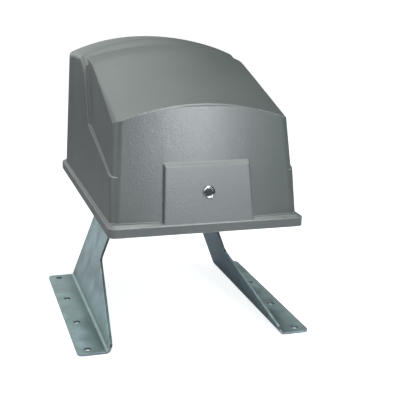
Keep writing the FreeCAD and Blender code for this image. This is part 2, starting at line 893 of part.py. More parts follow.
def lock_plug():
    face = lock_face + lock_axis * (lock_bezel_t - plug_recess)
    length = lock_body_length + lock_bezel_t - plug_recess + seat_gap
    plug = rod(lock_plug_r, length, face, lock_axis * -1)
    half_x = key_slot_width / 2
    half_y = key_slot_height / 2
    slot = block(-half_x, half_x, -half_y, half_y, -key_slot_depth, 0)
    slot.Placement = FreeCAD.Placement(face, FreeCAD.Rotation(Vector(0, 0, 1), lock_axis))
    return plug.cut(slot)


def lock_cam():
    # Flat latch cam behind the lock, hanging down while the lock is open
    down = Vector(1, 0, 0).cross(lock_axis)
    back = lock_face - lock_axis * (lock_body_length + seat_gap + cam_t)
    half = Vector(cam_width / 2, 0, 0)
    tail = back - down * (cam_width / 2)
    tip = back + down * cam_reach
    corners = [tail - half, tail + half, tip + half, tip - half]
    return plate(corners, [cam_tail_r, cam_tail_r, cam_tip_r, cam_tip_r], lock_axis * cam_t)


def cam_screw():
    back = lock_face - lock_axis * (lock_body_length + seat_gap + cam_t)
    return hexagon(2 * cam_screw_r, cam_screw_t, back - lock_axis * cam_screw_t, lock_axis)


def right_leg():
    # Z-bent plate: anchor foot, leaning web and the tab under the tray, trimmed to its side outline
    tab_end_x = tab_root_x - tab_width
    bends = [
        Vector(foot_outer_x, foot_front_y, 0),
        Vector(foot_inner_x, foot_front_y, 0),
        Vector(tab_root_x, foot_front_y, tab_bottom),
        Vector(tab_end_x, foot_front_y, tab_bottom),
    ]
    sheet = bent_sheet(bends, leg_t, leg_bend_r, Vector(0, foot_back_y - foot_front_y, 0))
    side = [
        Vector(0, foot_front_y, -leg_t),
        Vector(0, foot_front_y, web_front_z),
        Vector(0, web_shoulder_y, web_shoulder_z),
        Vector(0, web_shoulder_y, tray_top),
        Vector(0, foot_back_y, tray_top),
        Vector(0, foot_back_y, -leg_t),
    ]
    outline = plate(side, [0.0, web_tip_r, web_shoulder_r, 0.0, 0.0, 0.0], Vector(2 * foot_outer_x, 0, 0))
    leg = sheet.common(outline)
    corners = []
    for edge in leg.Edges:
        first = edge.Vertexes[0].Point
        last = edge.Vertexes[-1].Point
        upright = abs(first.x - last.x) + abs(first.y - last.y) < 1e-6
        if upright and (first.x > foot_outer_x - 1 or first.x < tab_end_x + 1):
            corners.append(edge)
    leg = leg.makeFillet(foot_corner_r, corners)
    holes = []
    for i in range(anchor_count):
        y = anchor_mid_y + (i - (anchor_count - 1) / 2) * anchor_pitch
        holes.append(rod(anchor_r, 3 * leg_t, Vector(anchor_x, y, -leg_t)))
    for y in leg_bolt_ys:
        holes.append(rod(leg_bolt_r + hole_gap, 3 * leg_t, Vector(tab_bolt_x, y, tab_bottom - leg_t)))
    return leg.cut(holes)


def leg_bolt_places():
    return [Vector(side * tab_bolt_x, y, tab_bottom) for side in (-1, 1) for y in leg_bolt_ys]


def leg_bolts():
    shank = leg_t + tray_t + bolt_head + bolt_end
    bolts = []
    for place in leg_bolt_places():
        bolts.append(union([hexagon(bolt_flats, bolt_head, place, up * -1), rod(leg_bolt_r, shank, place)]))
    return group(bolts)


def leg_nuts():
    nuts = []
    for place in leg_bolt_places():
        seat = Vector(place.x, place.y, tray_top)
        body = union([rod(nut_flange_r, nut_flange_t, seat), hexagon(bolt_flats, bolt_head, seat, up)])
        nuts.append(body.cut(rod(leg_bolt_r + press_gap, bolt_head, seat)))
    return group(nuts)


def box_bolt_places():
    xs = (box_left + box_bolt_inset, box_right - box_bolt_inset)
    ys = (box_front + box_bolt_inset, box_back - box_bolt_inset)
    return [Vector(x, y, tray_top + box_flange_t) for x in xs for y in ys]


def catch_screw_places():
    y = catch_y + catch_foot / 2 + catch_t / 2
    return [Vector(catch_left + share * catch_width, y, tray_top + catch_t) for share in catch_screw_shares]


def plate_screw_places():
    y = plate_back + plate_foot / 2 + plate_t
    return [Vector(side * plate_screw_x, y, tray_top + plate_t) for side in (-1, 1)]


def strap_screw_places():
    y = battery_y + battery_width / 2
    return [Vector(side * strap_screw, y, tray_top + strap_t) for side in (-1, 1)]


def conduit_places():
    return [Vector(side * conduit_x, conduit_y, tray_bottom) for side in (-1, 1)]


def through_holes(radius, places, length):
    return [rod(radius, 2 * length, place - up * length) for place in places]


def chassis_tray():
    # Folded floor plate with a rim that the cover's ledge rests on
    rim_top = ledge_z - seat_gap
    corner = lip_corner_r - wall - tray_side_gap
    inner_end = tray_end - rim_t
    outer = rounded_block(tray_half, -tray_end, tray_end, corner, tray_bottom, rim_top)
    inner = rounded_block(tray_half - rim_t, -inner_end, inner_end, corner - rim_t, tray_top, rim_top)
    shaft_hole = Vector(0, box_y, tray_bottom)
    small = catch_screw_places() + plate_screw_places() + strap_screw_places()
    reach = box_flange_t + 2 * tray_t
    holes = through_holes(output_bearing_r, [shaft_hole], reach)
    holes += through_holes(leg_bolt_r + hole_gap, leg_bolt_places(), reach)
    holes += through_holes(box_bolt_r + hole_gap, box_bolt_places(), reach)
    holes += through_holes(conduit_r, conduit_places(), reach)
    holes += through_holes(small_screw_r + press_gap, small, reach)
    return outer.cut([inner] + holes)


def conduit_bushings():
    bore = conduit_r - bushing_wall
    outside = conduit_r - press_gap
    flange = conduit_r + bushing_flange
    profile = [
        (bore, -bushing_wall),
        (flange, -bushing_wall),
        (flange, 0),
        (outside, 0),
        (outside, tray_t + bushing_wall),
        (bore, tray_t + bushing_wall),
    ]
    return group([turned(profile, place, up) for place in conduit_places()])


def lock_catch():
    # Bent keeper: a tongue above the locked cam, an upright and a foot on the tray
    cam_mid = lock_face - lock_axis * (lock_body_length + seat_gap + cam_t / 2)
    tongue_z = cam_mid.z + cam_width / 2 + catch_play
    tongue_y = cam_mid.y - cam_t - 2 * catch_play
    bends = [
        Vector(catch_left, tongue_y, tongue_z),
        Vector(catch_left, catch_y, tongue_z),
        Vector(catch_left, catch_y, tray_top),
        Vector(catch_left, catch_y + catch_foot, tray_top),
    ]
    keeper = bent_sheet(bends, catch_t, catch_t, Vector(catch_width, 0, 0))
    return keeper.cut(through_holes(small_screw_r + hole_gap, catch_screw_places(), 2 * catch_t))


def small_screw(place, grip):
    return screw(small_screw_r, grip + tray_t, small_head_r, small_head_h, place, up)


def tray_screws():
    screws = [small_screw(place, catch_t) for place in catch_screw_places()]
    screws += [small_screw(place, plate_t) for place in plate_screw_places()]
    screws += [small_screw(place, strap_t) for place in strap_screw_places()]
    return group(screws)


def gearbox_housing():
    # Cast box: wheel drum, worm tunnel and foot flange, bored for the bearings, seal and worm
    axis_base = Vector(0, box_y, tray_top)
    worm_base = Vector(mesh_x, tunnel_front, mesh_z)
    flange_top = tray_top + box_flange_t
    body = [
        rounded_slab(box_left, box_right, box_front, box_back, box_flange_r, tray_top, flange_top),
        rod(box_r, box_top_z - tray_top, axis_base),
        rod(tunnel_r, 2 * tunnel_half, worm_base, rearward),
    ]
    pillar_ends = (tunnel_front + pillar_half, tunnel_back - pillar_half)
    body.append(block(mesh_x - pillar_half, mesh_x + pillar_half, *pillar_ends, tray_top, mesh_z))
    for turn in rib_degs:
        rib = block(0, box_r + rib_reach, -rib_t / 2, rib_t / 2, tray_top, box_top_z - rib_drop)
        rib.rotate(Vector(0, 0, 0), up, turn)
        rib.translate(Vector(0, box_y, 0))
        body.append(rib)
    bores = [
        rod(chamber_r, box_top_z, Vector(0, box_y, chamber_floor_z)),
        rod(output_bearing_r + press_gap, box_top_z, Vector(0, box_y, lower_bearing_z)),
        rod(shaft_r + shaft_space, box_top_z, axis_base),
        rod(seal_r + press_gap, seal_inset + seal_w, axis_base),
        rod(worm_bearing_r + press_gap, 2 * tunnel_half, worm_base, rearward),
    ]
    bores += through_holes(box_bolt_r + hole_gap, box_bolt_places(), 2 * box_flange_t)
    bores += through_holes(lid_screw_r + press_gap, lid_screw_places(), lid_t + lid_screw_depth)
    return union(body).cut(bores)


def lid_screw_places():
    half_step = 180.0 / lid_screw_count
    return ring_places(lid_screw_count, chamber_r + box_wall / 2, Vector(0, box_y, lid_top), half_step)


def sensor_screw_places():
    y = sensor_wall_y + bracket_t + (bracket_foot + bracket_bend_r) / 2
    return [Vector(side * bracket_screw_x, y, lid_top + bracket_t) for side in (-1, 1)]


def gearbox_lid():
    bore = output_bearing_r + press_gap
    spigot = chamber_r - press_gap
    hole = shaft_r + shaft_space
    profile = [
        (hole, boss_top),
        (lid_boss_r - lid_edge, boss_top),
        (lid_boss_r, boss_top - lid_edge),
        (lid_boss_r, lid_top),
        (box_r, lid_top),
        (box_r, box_top_z),
        (spigot, box_top_z),
        (spigot, box_top_z - lid_spigot),
        (spigot - lid_spigot_wall, box_top_z - lid_spigot),
        (spigot - lid_spigot_wall, box_top_z),
        (bore, box_top_z),
        (bore, upper_bearing_top),
        (hole, upper_bearing_top),
    ]
    holes = through_holes(lid_screw_r + hole_gap, lid_screw_places(), 2 * lid_t)
    holes += through_holes(small_screw_r + press_gap, sensor_screw_places(), lid_t)
    return turned(profile, Vector(0, box_y, 0), up).cut(holes)


def lid_screws():
    length = lid_t + lid_screw_depth - bolt_end
    sizes = (lid_screw_r, length, lid_screw_head_r, lid_screw_head_h)
    return group([screw(*sizes, place, up) for place in lid_screw_places()])


def gearbox_bolts():
    grip = box_flange_t + tray_t
    bolts = []
    for place in box_bolt_places():
        head = hexagon(bolt_flats, bolt_head, place, up)
        shank = rod(box_bolt_r, grip + bolt_head + bolt_end, place, up * -1)
        nut = hexagon(bolt_flats, bolt_head, place - up * grip, up * -1)
        bolts.append(union([head, shank, nut]))
    return group(bolts)


def bearing(bore, outer, width, base, axis):
    # Shielded ball bearing, drawn as one ring with a recess in each face
    land = (outer - bore) / 4
    profile = [
        (bore, 0), (bore + land, 0), (bore + land, bearing_recess),
        (outer - land, bearing_recess), (outer - land, 0), (outer, 0),
        (outer, width), (outer - land, width), (outer - land, width - bearing_recess),
        (bore + land, width - bearing_recess), (bore + land, width), (bore, width),
    ]
    return turned(profile, base, axis)


def output_bearing(z):
    return bearing(shaft_r + run_gap, output_bearing_r, output_bearing_w, Vector(0, box_y, z), up)


def output_seal():
    lip = shaft_r + run_gap
    profile = [
        (lip, 0),
        (seal_r, 0),
        (seal_r, seal_w),
        (lip + seal_lip, seal_w),
        (lip, seal_w - seal_lip),
    ]
    return turned(profile, Vector(0, box_y, tray_top + seal_inset), up)


def worm_end_cap():
    spigot = worm_bearing_r - press_gap
    profile = [
        (0, -end_cap_t),
        (tunnel_r - end_cap_edge, -end_cap_t),
        (tunnel_r, end_cap_edge - end_cap_t),
        (tunnel_r, 0),
        (spigot, 0),
        (spigot, bearing_inset),
        (spigot - end_cap_edge, bearing_inset),
        (spigot - end_cap_edge, 0),
        (0, 0),
    ]
    return turned(profile, Vector(mesh_x, tunnel_front, mesh_z), rearward)


def worm_bearings():
    bore = worm_journal_r + run_gap
    rings = []
    for y in (tunnel_front + bearing_inset, tunnel_back - bearing_inset - worm_bearing_w):
        rings.append(bearing(bore, worm_bearing_r, worm_bearing_w, Vector(mesh_x, y, mesh_z), rearward))
    return group(rings)


def worm_thread(root_r):
    # Right-hand single-start thread whose groove faces the wheel on the line of centres
    slope = math.tan(math.radians(pressure_deg))
    half = thread_share * tooth_pitch / 2
    low = root_r - thread_sink
    tip = worm_pitch_r + gear_module
    foot = half + (worm_pitch_r - low) * slope
    crest = half - gear_module * slope
    corners = [Vector(low, 0, -foot), Vector(tip, 0, -crest), Vector(tip, 0, crest), Vector(low, 0, foot)]
    profile = Part.makePolygon(corners + [corners[0]])
    length = worm_turns * tooth_pitch
    path = Part.Wire(Part.makeHelix(tooth_pitch, length, worm_pitch_r).Edges)
    thread = path.makePipeShell([profile], True, True)
    thread.rotate(Vector(0, 0, 0), up, -180.0 * worm_turns)
    thread.rotate(Vector(0, 0, 0), Vector(1, 0, 0), -90)
    thread.translate(Vector(mesh_x, box_y - length / 2, mesh_z))
    return thread


def worm_shaft():
    root_r = worm_pitch_r - root_depth * gear_module
    start = tunnel_front + bearing_inset + seat_gap
    front = tunnel_front + bearing_inset + worm_bearing_w + seat_gap
    back = tunnel_back - bearing_inset - worm_bearing_w - seat_gap
    profile = [
        (0, start),
        (worm_journal_r, start),
        (worm_journal_r, front),
        (root_r, front),
        (root_r, back),
        (worm_journal_r, back),
        (worm_journal_r, shaft_meet),
        (0, shaft_meet),
    ]
    return turned(profile, Vector(mesh_x, 0, mesh_z), rearward).fuse(worm_thread(root_r))


def tooth_ring(z, turn):
    # Outline of the wheel's teeth at one height, with a tooth at the given turn from +X
    slope = math.tan(math.radians(pressure_deg))
    half = tooth_share * tooth_pitch / 2
    tip_r = wheel_pitch_r + gear_module
    root_r = wheel_pitch_r - root_depth * gear_module
    tip_half = (half - gear_module * slope) / tip_r
    root_half = (half + root_depth * gear_module * slope) / root_r
    points = []
    for i in range(wheel_teeth):
        middle = 2 * math.pi * i / wheel_teeth + turn
        tooth = ((root_r, -root_half), (tip_r, -tip_half), (tip_r, tip_half), (root_r, root_half))
        for radius, shift in tooth:
            angle = middle + shift
            points.append(Vector(radius * math.cos(angle), box_y + radius * math.sin(angle), z))
    return Part.makePolygon(points + [points[0]])


def worm_wheel():
    # Teeth set over by the worm's lead angle
    lead = tooth_pitch / (2 * math.pi * worm_pitch_r)
    skew = lead * wheel_face / 2 / wheel_pitch_r
    teeth = Part.makeLoft([tooth_ring(wheel_z, -skew), tooth_ring(wheel_top, skew)], True, True)
    rim = wheel_pitch_r - root_depth * gear_module - wheel_rim
    cuts = [rod(wheel_seat_r + press_gap, wheel_face, Vector(0, box_y, wheel_z))]
    for z in (wheel_z, wheel_top - wheel_recess):
        cuts.append(tube(rim, wheel_seat_r + wheel_hub, wheel_recess, Vector(0, box_y, z)))
    half = wheel_key_width / 2 + press_gap
    key_top = box_y + wheel_seat_r - wheel_key_depth + wheel_key_height + press_gap
    cuts.append(block(-half, half, box_y, key_top, wheel_z, wheel_top))
    return teeth.cut(cuts)


def wheel_key():
    low = box_y + wheel_seat_r - wheel_key_depth + press_gap
    high = low + wheel_key_height - press_gap
    half = wheel_key_width / 2
    return block(-half, half, low, high, wheel_z + wheel_key_end, wheel_top - wheel_key_end)


def output_shaft():
    cam_seat_z = upper_bearing_top + cam_seat_rise
    profile = [
        (0, stub_bottom_z),
        (stub_r - shaft_edge, stub_bottom_z),
        (stub_r, stub_bottom_z + shaft_edge),
        (stub_r, tray_bottom),
        (shaft_r, tray_bottom),
        (shaft_r, collar_z),
        (collar_r, collar_z),
        (collar_r, wheel_z),
        (wheel_seat_r, wheel_z),
        (wheel_seat_r, wheel_top),
        (shaft_r, wheel_top),
        (shaft_r, cam_seat_z),
        (cam_seat_r, cam_seat_z),
        (cam_seat_r, shaft_top_z - shaft_edge),
        (cam_seat_r - shaft_edge, shaft_top_z),
        (0, shaft_top_z),
    ]
    shaft = turned(profile, Vector(0, box_y, 0), up)
    half = stub_key_width / 2
    key_front = box_y - stub_r
    stub_key = block(-half, half, key_front, key_front + stub_key_depth,
                     stub_bottom_z, stub_bottom_z + stub_key_length)
    stub_key.rotate(Vector(0, box_y, 0), up, stub_key_deg)
    half = wheel_key_width / 2 + press_gap
    key_low = box_y + wheel_seat_r - wheel_key_depth
    seat = block(-half, half, key_low, box_y + collar_r,
                 wheel_z + wheel_key_end - press_gap, wheel_top - wheel_key_end + press_gap)
    return shaft.cut([stub_key, seat])


def wheel_spacer():
    height = upper_bearing_z - seat_gap - wheel_top
    return tube(shaft_r + spacer_wall, shaft_r + press_gap, height, Vector(0, box_y, wheel_top))


def limit_cam(z, turn):
    # Clamp ring, slit at the back, with a raised sector that the sensor sees
    base = Vector(0, box_y, z)
    sector = Part.makeCylinder(limit_lobe_r, limit_cam_t, base, up, limit_lobe_deg)
    sector.rotate(base, up, turn - limit_lobe_deg / 2)
    ring = union([rod(limit_cam_r, limit_cam_t, base), sector])
    slit = block(0, limit_lobe_r, -limit_slit / 2, limit_slit / 2, 0, limit_cam_t)
    slit.rotate(Vector(0, 0, 0), up, turn + 180.0)
    slit.translate(base)
    return ring.cut([rod(cam_seat_r + press_gap, limit_cam_t, base), slit])


def sensor_places():
    return [
        Vector(-sensor_x, sensor_face_y, open_cam_z + limit_cam_t / 2),
        Vector(sensor_x, sensor_face_y, close_cam_z + limit_cam_t / 2),
    ]


def sensor_bracket():
    # Angle plate on the gearbox lid, bored for the two limit sensors
    top = close_cam_z + limit_cam_t / 2 + bracket_head
    bends = [
        Vector(-bracket_half, sensor_wall_y, top),
        Vector(-bracket_half, sensor_wall_y, lid_top),
        Vector(-bracket_half, sensor_wall_y + bracket_t + bracket_foot, lid_top),
    ]
    angle = bent_sheet(bends, bracket_t, bracket_bend_r, Vector(2 * bracket_half, 0, 0))
    holes = through_holes(small_screw_r + hole_gap, sensor_screw_places(), 2 * bracket_t)
    for place in sensor_places():
        holes.append(rod(sensor_r + press_gap, sensor_length, place, rearward))
    return angle.cut(holes)


def limit_sensors():
    sensors = []
    for place in sensor_places():
        nut_seat = place + rearward * (sensor_reach + bracket_t)
        sensors.append(union([
            rod(sensor_r, sensor_length, place, rearward),
            hexagon(sensor_nut_flats, sensor_nut_t, nut_seat, rearward),
            rod(sensor_tail_r, sensor_tail, place + rearward * sensor_length, rearward),
        ]))
    return group(sensors)


def sensor_screws():
    length = lid_t - bracket_t
    return group([
        screw(small_screw_r, length, small_head_r, small_head_h, place, up) for place in sensor_screw_places()
    ])


def motor_adapter():
    # Bell housing between the worm tunnel and the motor, with the front motor bearing's seat
    seat = motor_bearing_r + press_gap
    seat_start = adapter_length - motor_bearing_w
    profile = [
        (adapter_bore_r, 0),
        (adapter_neck_r, 0),
        (adapter_neck_r, adapter_waist),
        (motor_r, adapter_waist + adapter_cone),
        (motor_r, adapter_length),
        (seat, adapter_length),
        (seat, seat_start),
        (adapter_bore_r, seat_start),
    ]
    return turned(profile, Vector(mesh_x, tunnel_back, mesh_z), rearward)


def motor_screw_places(y):
    places = []
    for place in ring_places(motor_screw_count, motor_screw_ring, Vector(0, 0, 0), 45.0):
        places.append(Vector(mesh_x + place.x, y, mesh_z + place.y))
    return places


def motor_frame():
    base = Vector(mesh_x, motor_front, mesh_z)
    shell = tube(motor_r, motor_r - motor_wall, motor_length, base, rearward)
    holes = []
    for place in motor_screw_places(motor_back):
        holes.append(rod(motor_screw_r + press_gap, motor_screw_depth, place, rearward * -1))
    return shell.cut(holes)


def motor_magnets():
    base = Vector(mesh_x, motor_front + rotor_start, mesh_z)
    hollow = rod(rotor_r + magnet_gap, rotor_length, base, rearward)
    outer_r = motor_r - motor_wall - press_gap
    arcs = []
    for turn in (0.0, 180.0):
        arc = Part.makeCylinder(outer_r, rotor_length, base, rearward, magnet_deg).cut(hollow)
        arc.rotate(base, rearward, turn)
        arcs.append(arc)
    return group(arcs)


def motor_end_bell():
    inner = motor_r - motor_wall
    seat = motor_bearing_r + press_gap
    seat_end = bell_seat + motor_bearing_w
    profile = [
        (0, bell_length),
        (bell_r - bell_edge, bell_length),
        (bell_r, bell_length - bell_edge),
        (bell_r, bell_flange),
        (motor_r, bell_flange),
        (motor_r, 0),
        (inner, 0),
        (seat + bell_boss, bell_seat),
        (seat, bell_seat),
        (seat, seat_end),
        (0, seat_end),
    ]
    bell = turned(profile, Vector(mesh_x, motor_back, mesh_z), rearward)
    radius = motor_screw_r + hole_gap
    return bell.cut([rod(radius, bell_flange, place, rearward) for place in motor_screw_places(motor_back)])


def motor_screws():
    length = bell_flange + motor_screw_depth - bolt_end
    sizes = (motor_screw_r, length, motor_screw_head_r, motor_screw_head_h)
    places = motor_screw_places(motor_back + bell_flange)
    return group([screw(*sizes, place, rearward) for place in places])


def motor_bearings():
    bore = motor_shaft_r + run_gap
    rings = []
    for y in (motor_front - motor_bearing_w, motor_back + bell_seat):
        rings.append(bearing(bore, motor_bearing_r, motor_bearing_w, Vector(mesh_x, y, mesh_z), rearward))
    return group(rings)


def motor_rotor():
    start = shaft_meet + shaft_meet_gap
    core = motor_front + rotor_start
    core_end = core + rotor_length
    brush = core_end + brush_start
    brush_end = brush + brush_length
    end = motor_back + bell_seat + motor_bearing_w - seat_gap
    profile = [
        (0, start),
        (motor_shaft_r, start),
        (motor_shaft_r, core),
        (rotor_r, core),
        (rotor_r, core_end),
        (motor_shaft_r, core_end),
        (motor_shaft_r, brush),
        (brush_r, brush),
        (brush_r, brush_end),
        (motor_shaft_r, brush_end),
        (motor_shaft_r, end),
        (0, end),
    ]
    return turned(profile, Vector(mesh_x, 0, mesh_z), rearward)


def drive_coupling():
    worm_bore = worm_journal_r + press_gap
    motor_bore = motor_shaft_r + press_gap
    half = coupling_length / 2
    profile = [
        (worm_bore, -half),
        (coupling_r, -half),
        (coupling_r, half),
        (motor_bore, half),
        (motor_bore, shaft_meet_gap / 2),
        (worm_bore, shaft_meet_gap / 2),
    ]
    return turned(profile, Vector(mesh_x, shaft_meet, mesh_z), rearward)


def switch_block(x, grow, front, depth):
    half_x = switch_width / 2 + grow
    half_z = switch_height / 2 + grow
    start = panel_y + front
    return block(x - half_x, x + half_x, start, start + depth, switch_z - half_z, switch_z + half_z)


def control_plate():
    # Upright plate behind the lock, with a foot on the tray
    bends = [
        Vector(-plate_half, panel_y, plate_top_z),
        Vector(-plate_half, panel_y, tray_top),
        Vector(-plate_half, plate_back + plate_foot, tray_top),
    ]
    sheet = bent_sheet(bends, plate_t, plate_t, Vector(2 * plate_half, 0, 0))
    holes = through_holes(small_screw_r + hole_gap, plate_screw_places(), 2 * plate_t)
    for x in switch_xs:
        holes.append(switch_block(x, hole_gap, -plate_t, 3 * plate_t))
    reset_hole = reset_r + reset_wall + hole_gap
    for x, radius in ((reset_x, reset_hole), (siren_x, siren_body_r + hole_gap)):
        holes.append(rod(radius, 3 * plate_t, Vector(x, panel_y - plate_t, switch_z), rearward))
    return sheet.cut(holes)


def rocker_switch(x):
    # Snap-in body with a bezel and a well for the rocker
    bezel = switch_block(x, bezel_rim, -bezel_t, bezel_t)
    body = switch_block(x, 0.0, -bezel_t, bezel_t + switch_depth)
    well = switch_block(x, -switch_wall, -bezel_t, bezel_t + well_depth)
    return union([bezel, body]).cut(well)


def rocker(x):
    # Two-way rocker, tilted to its off side
    half_x = switch_width / 2 - switch_wall - seat_gap
    half_z = switch_height / 2 - switch_wall - rocker_play
    pivot = Vector(x - half_x, panel_y + rocker_pivot, switch_z)
    outline = [
        pivot + Vector(0, -rocker_ends, -half_z),
        pivot + Vector(0, -rocker_waist, 0),
        pivot + Vector(0, -rocker_ends, half_z),
        pivot + Vector(0, -rocker_root, half_z),
        pivot + Vector(0, rocker_belly, 0),
        pivot + Vector(0, -rocker_root, -half_z),
    ]
    key = plate(outline, [0.0, rocker_dish_r, 0.0, 0.0, rocker_belly_r, 0.0], Vector(2 * half_x, 0, 0))
    key.rotate(pivot, Vector(1, 0, 0), rocker_tilt)
    return key


def reset_body():
    bore = reset_r + run_gap
    profile = [
        (bore, -reset_bezel_t),
        (reset_r + reset_bezel, -reset_bezel_t),
        (reset_r + reset_bezel, 0),
        (reset_r + reset_wall, 0),
        (reset_r + reset_wall, reset_well + reset_floor),
        (0, reset_well + reset_floor),
        (0, reset_well),
        (bore, reset_well),
    ]
    return turned(profile, Vector(reset_x, panel_y, switch_z), rearward)


def reset_plunger():
    face = -reset_bezel_t - reset_travel - reset_stand
    end = reset_well - reset_travel - seat_gap
    profile = [
        (0, face),
        (reset_r - reset_edge, face),
        (reset_r, face + reset_edge),
        (reset_r, end),
        (0, end),
    ]
    return turned(profile, Vector(reset_x, panel_y, switch_z), rearward)


def alarm_siren():
    # Panel siren with a slotted, domed face
    profile = [
        (0, -siren_dome),
        (siren_face_r, -siren_dome),
        (siren_r, -siren_rim),
        (siren_r, 0),
        (siren_body_r, 0),
        (siren_body_r, siren_body),
        (0, siren_body),
    ]
    slots = []
    face_y = panel_y - siren_dome
    for i in range(siren_slots):
        shift = (i - (siren_slots - 1) / 2) * siren_slot_pitch
        half = math.sqrt(siren_face_r ** 2 - shift ** 2)
        left = siren_x + shift - siren_slot / 2
        slots.append(block(left, left + siren_slot, face_y, face_y + siren_slot_depth,
                           switch_z - half, switch_z + half))
    return turned(profile, Vector(siren_x, panel_y, switch_z), rearward).cut(slots)


def standoff_places():
    x = board_half - standoff_inset
    return [Vector(side * x, board_back, z) for side in (-1, 1)
            for z in (board_low + standoff_inset, board_high - standoff_inset)]


def control_board():
    sheet = block(-board_half, board_half, board_front, board_back, board_low, board_high)
    radius = standoff_stem_r + press_gap
    return sheet.cut([rod(radius, board_t, place, rearward * -1) for place in standoff_places()])


def board_standoffs():
    posts = []
    for place in standoff_places():
        posts.append(union([
            rod(standoff_r, standoff, place, rearward),
            rod(standoff_stem_r, board_t, place, rearward * -1),
            rod(standoff_r, standoff_head, place - rearward * board_t, rearward * -1),
        ]))
    return group(posts)


def on_board(left, width, low, height, depth):
    # Block that stands on the front of the board
    z = board_low + low
    return block(left, left + width, board_front - depth, board_front, z, z + height)


def terminal_blocks():
    # Screw terminals along the lower edge, with a wire port for each way and a step for its screws
    blocks = []
    pitch = terminal_length / terminal_ways
    low = standoff_inset / 2
    step = terminal_height / 2
    for i in range(terminal_count):
        left = first_part + i * terminal_pitch
        body = on_board(left, terminal_length, low, terminal_height, terminal_depth)
        cuts = [on_board(left, terminal_length, low + step, terminal_height - step, terminal_depth)]
        cuts[0].translate(rearward * (-2 * terminal_depth / 3))
        for way in range(terminal_ways):
            x = left + (way + 0.5) * pitch - terminal_port / 2
            port = on_board(x, terminal_port, low, terminal_port, terminal_port)
            port.translate(rearward * -terminal_port)
            cuts.append(port)
        blocks.append(body.cut(cuts))
    return group(blocks)


def board_modules():
    # Relays in a row and the controller chip above them
    pieces = []
    for i in range(relay_count):
        left = first_part + i * relay_pitch
        pieces.append(on_board(left, relay_length, relay_z, relay_height, relay_depth))
    pieces.append(on_board(chip_x, chip_size, chip_z, chip_size, chip_t))
    return group(pieces)


def board_capacitors():
    shoulder = can_length - can_edge
    profile = [(0, 0), (can_r, 0), (can_r, shoulder), (can_r - can_edge, can_length), (0, can_length)]
    cans = []
    for i in range(2):
        place = Vector(can_x + i * can_pitch, board_front, board_low + can_z)
        cans.append(turned(profile, place, rearward * -1))
    return group(cans)


def heat_sink():
    width = (sink_fins - 1) * sink_fin_pitch + sink_fin_t
    pieces = [on_board(sink_left, width, sink_z, sink_height, sink_base)]
    for i in range(sink_fins):
        left = sink_left + i * sink_fin_pitch
        pieces.append(on_board(left, sink_fin_t, sink_z, sink_height, sink_base + sink_fin))
    return union(pieces)


def upright_edges(shape):
    edges = []
    for edge in shape.Edges:
        first = edge.Vertexes[0].Point
        last = edge.Vertexes[-1].Point
        if abs(first.z - last.z) > 1 and abs(first.x - last.x) + abs(first.y - last.y) < 1e-6:
            edges.append(edge)
    return edges


def power_supply():
    # Ventilated case with a shelf at the back for its terminals
    right = supply_left + supply_width
    top = tray_top + supply_height
    case = block(supply_left, right, supply_front, supply_back, tray_top, top)
    case = case.makeFillet(supply_edge_r, upright_edges(case))
    shelf_y = supply_back - supply_shelf
    cuts = [block(supply_left, right, shelf_y, supply_back, tray_top + supply_shelf_z, top)]
    span = shelf_y - supply_front - 2 * supply_slot_start
    for i in range(supply_slots):
        y = supply_front + supply_slot_start + i * span / (supply_slots - 1)
        cuts.append(block(supply_left + supply_slot_inset, right - supply_slot_inset,
                          y - supply_slot / 2, y + supply_slot / 2, top - supply_slot_depth, top))
    return case.cut(cuts)


def supply_terminals():
    left = supply_left + strip_inset
    width = supply_width - 2 * strip_inset
    low = tray_top + supply_shelf_z
    front = supply_back - supply_shelf + seat_gap
    strip = block(left, left + width, front, front + strip_depth, low, low + strip_height)
    pitch = (width - strip_fence) / supply_ways
    bays = []
    for i in range(supply_ways):
        x = left + strip_fence + i * pitch
        bays.append(block(x, x + pitch - strip_fence, front + strip_fence, front + strip_depth,
                          low + strip_height - strip_bay, low + strip_height))
    return strip.cut(bays)


def left_battery():
    # Sealed battery with a lid seam and two tab terminals
    right = -battery_space / 2
    left = right - battery_length
    back = battery_y + battery_width
    top = tray_top + battery_height
    case = block(left, right, battery_y, back, tray_top, top)
    rounded = upright_edges(case)
    for edge in case.Edges:
        if min(vertex.Z for vertex in edge.Vertexes) > top - 0.1:
            rounded.append(edge)
    case = case.makeFillet(battery_edge_r, rounded)
    seam_z = top - seam_drop
    inner_r = battery_edge_r - seam_depth
    band = block(left, right, battery_y, back, seam_z, seam_z + seam_width)
    core = rounded_slab(left + seam_depth, right - seam_depth, battery_y + seam_depth, back - seam_depth,
                        inner_r, seam_z, seam_z + seam_width)
    pieces = [case.cut(band.cut(core))]
    tab_y = battery_y + tab_back
    for x in (left + tab_inset, right - tab_inset - tab_length):
        pieces.append(block(x, x + tab_length, tab_y, tab_y + tab_t, top - tab_t, top + tab_rise))
    return union(pieces)


def battery_strap():
    # Flat steel strap over both batteries, with a foot on the tray at each end
    front = battery_y + (battery_width - strap_width) / 2
    top = tray_top + battery_height + seat_gap
    toe = strap_side + strap_t + strap_foot
    bends = [
        Vector(toe, front, tray_top),
        Vector(strap_side, front, tray_top),
        Vector(strap_side, front, top),
        Vector(-strap_side, front, top),
        Vector(-strap_side, front, tray_top),
        Vector(-toe, front, tray_top),
    ]
    strap = bent_sheet(bends, strap_t, strap_bend_r, Vector(0, strap_width, 0))
    return strap.cut(through_holes(small_screw_r + hole_gap, strap_screw_places(), 2 * strap_t))


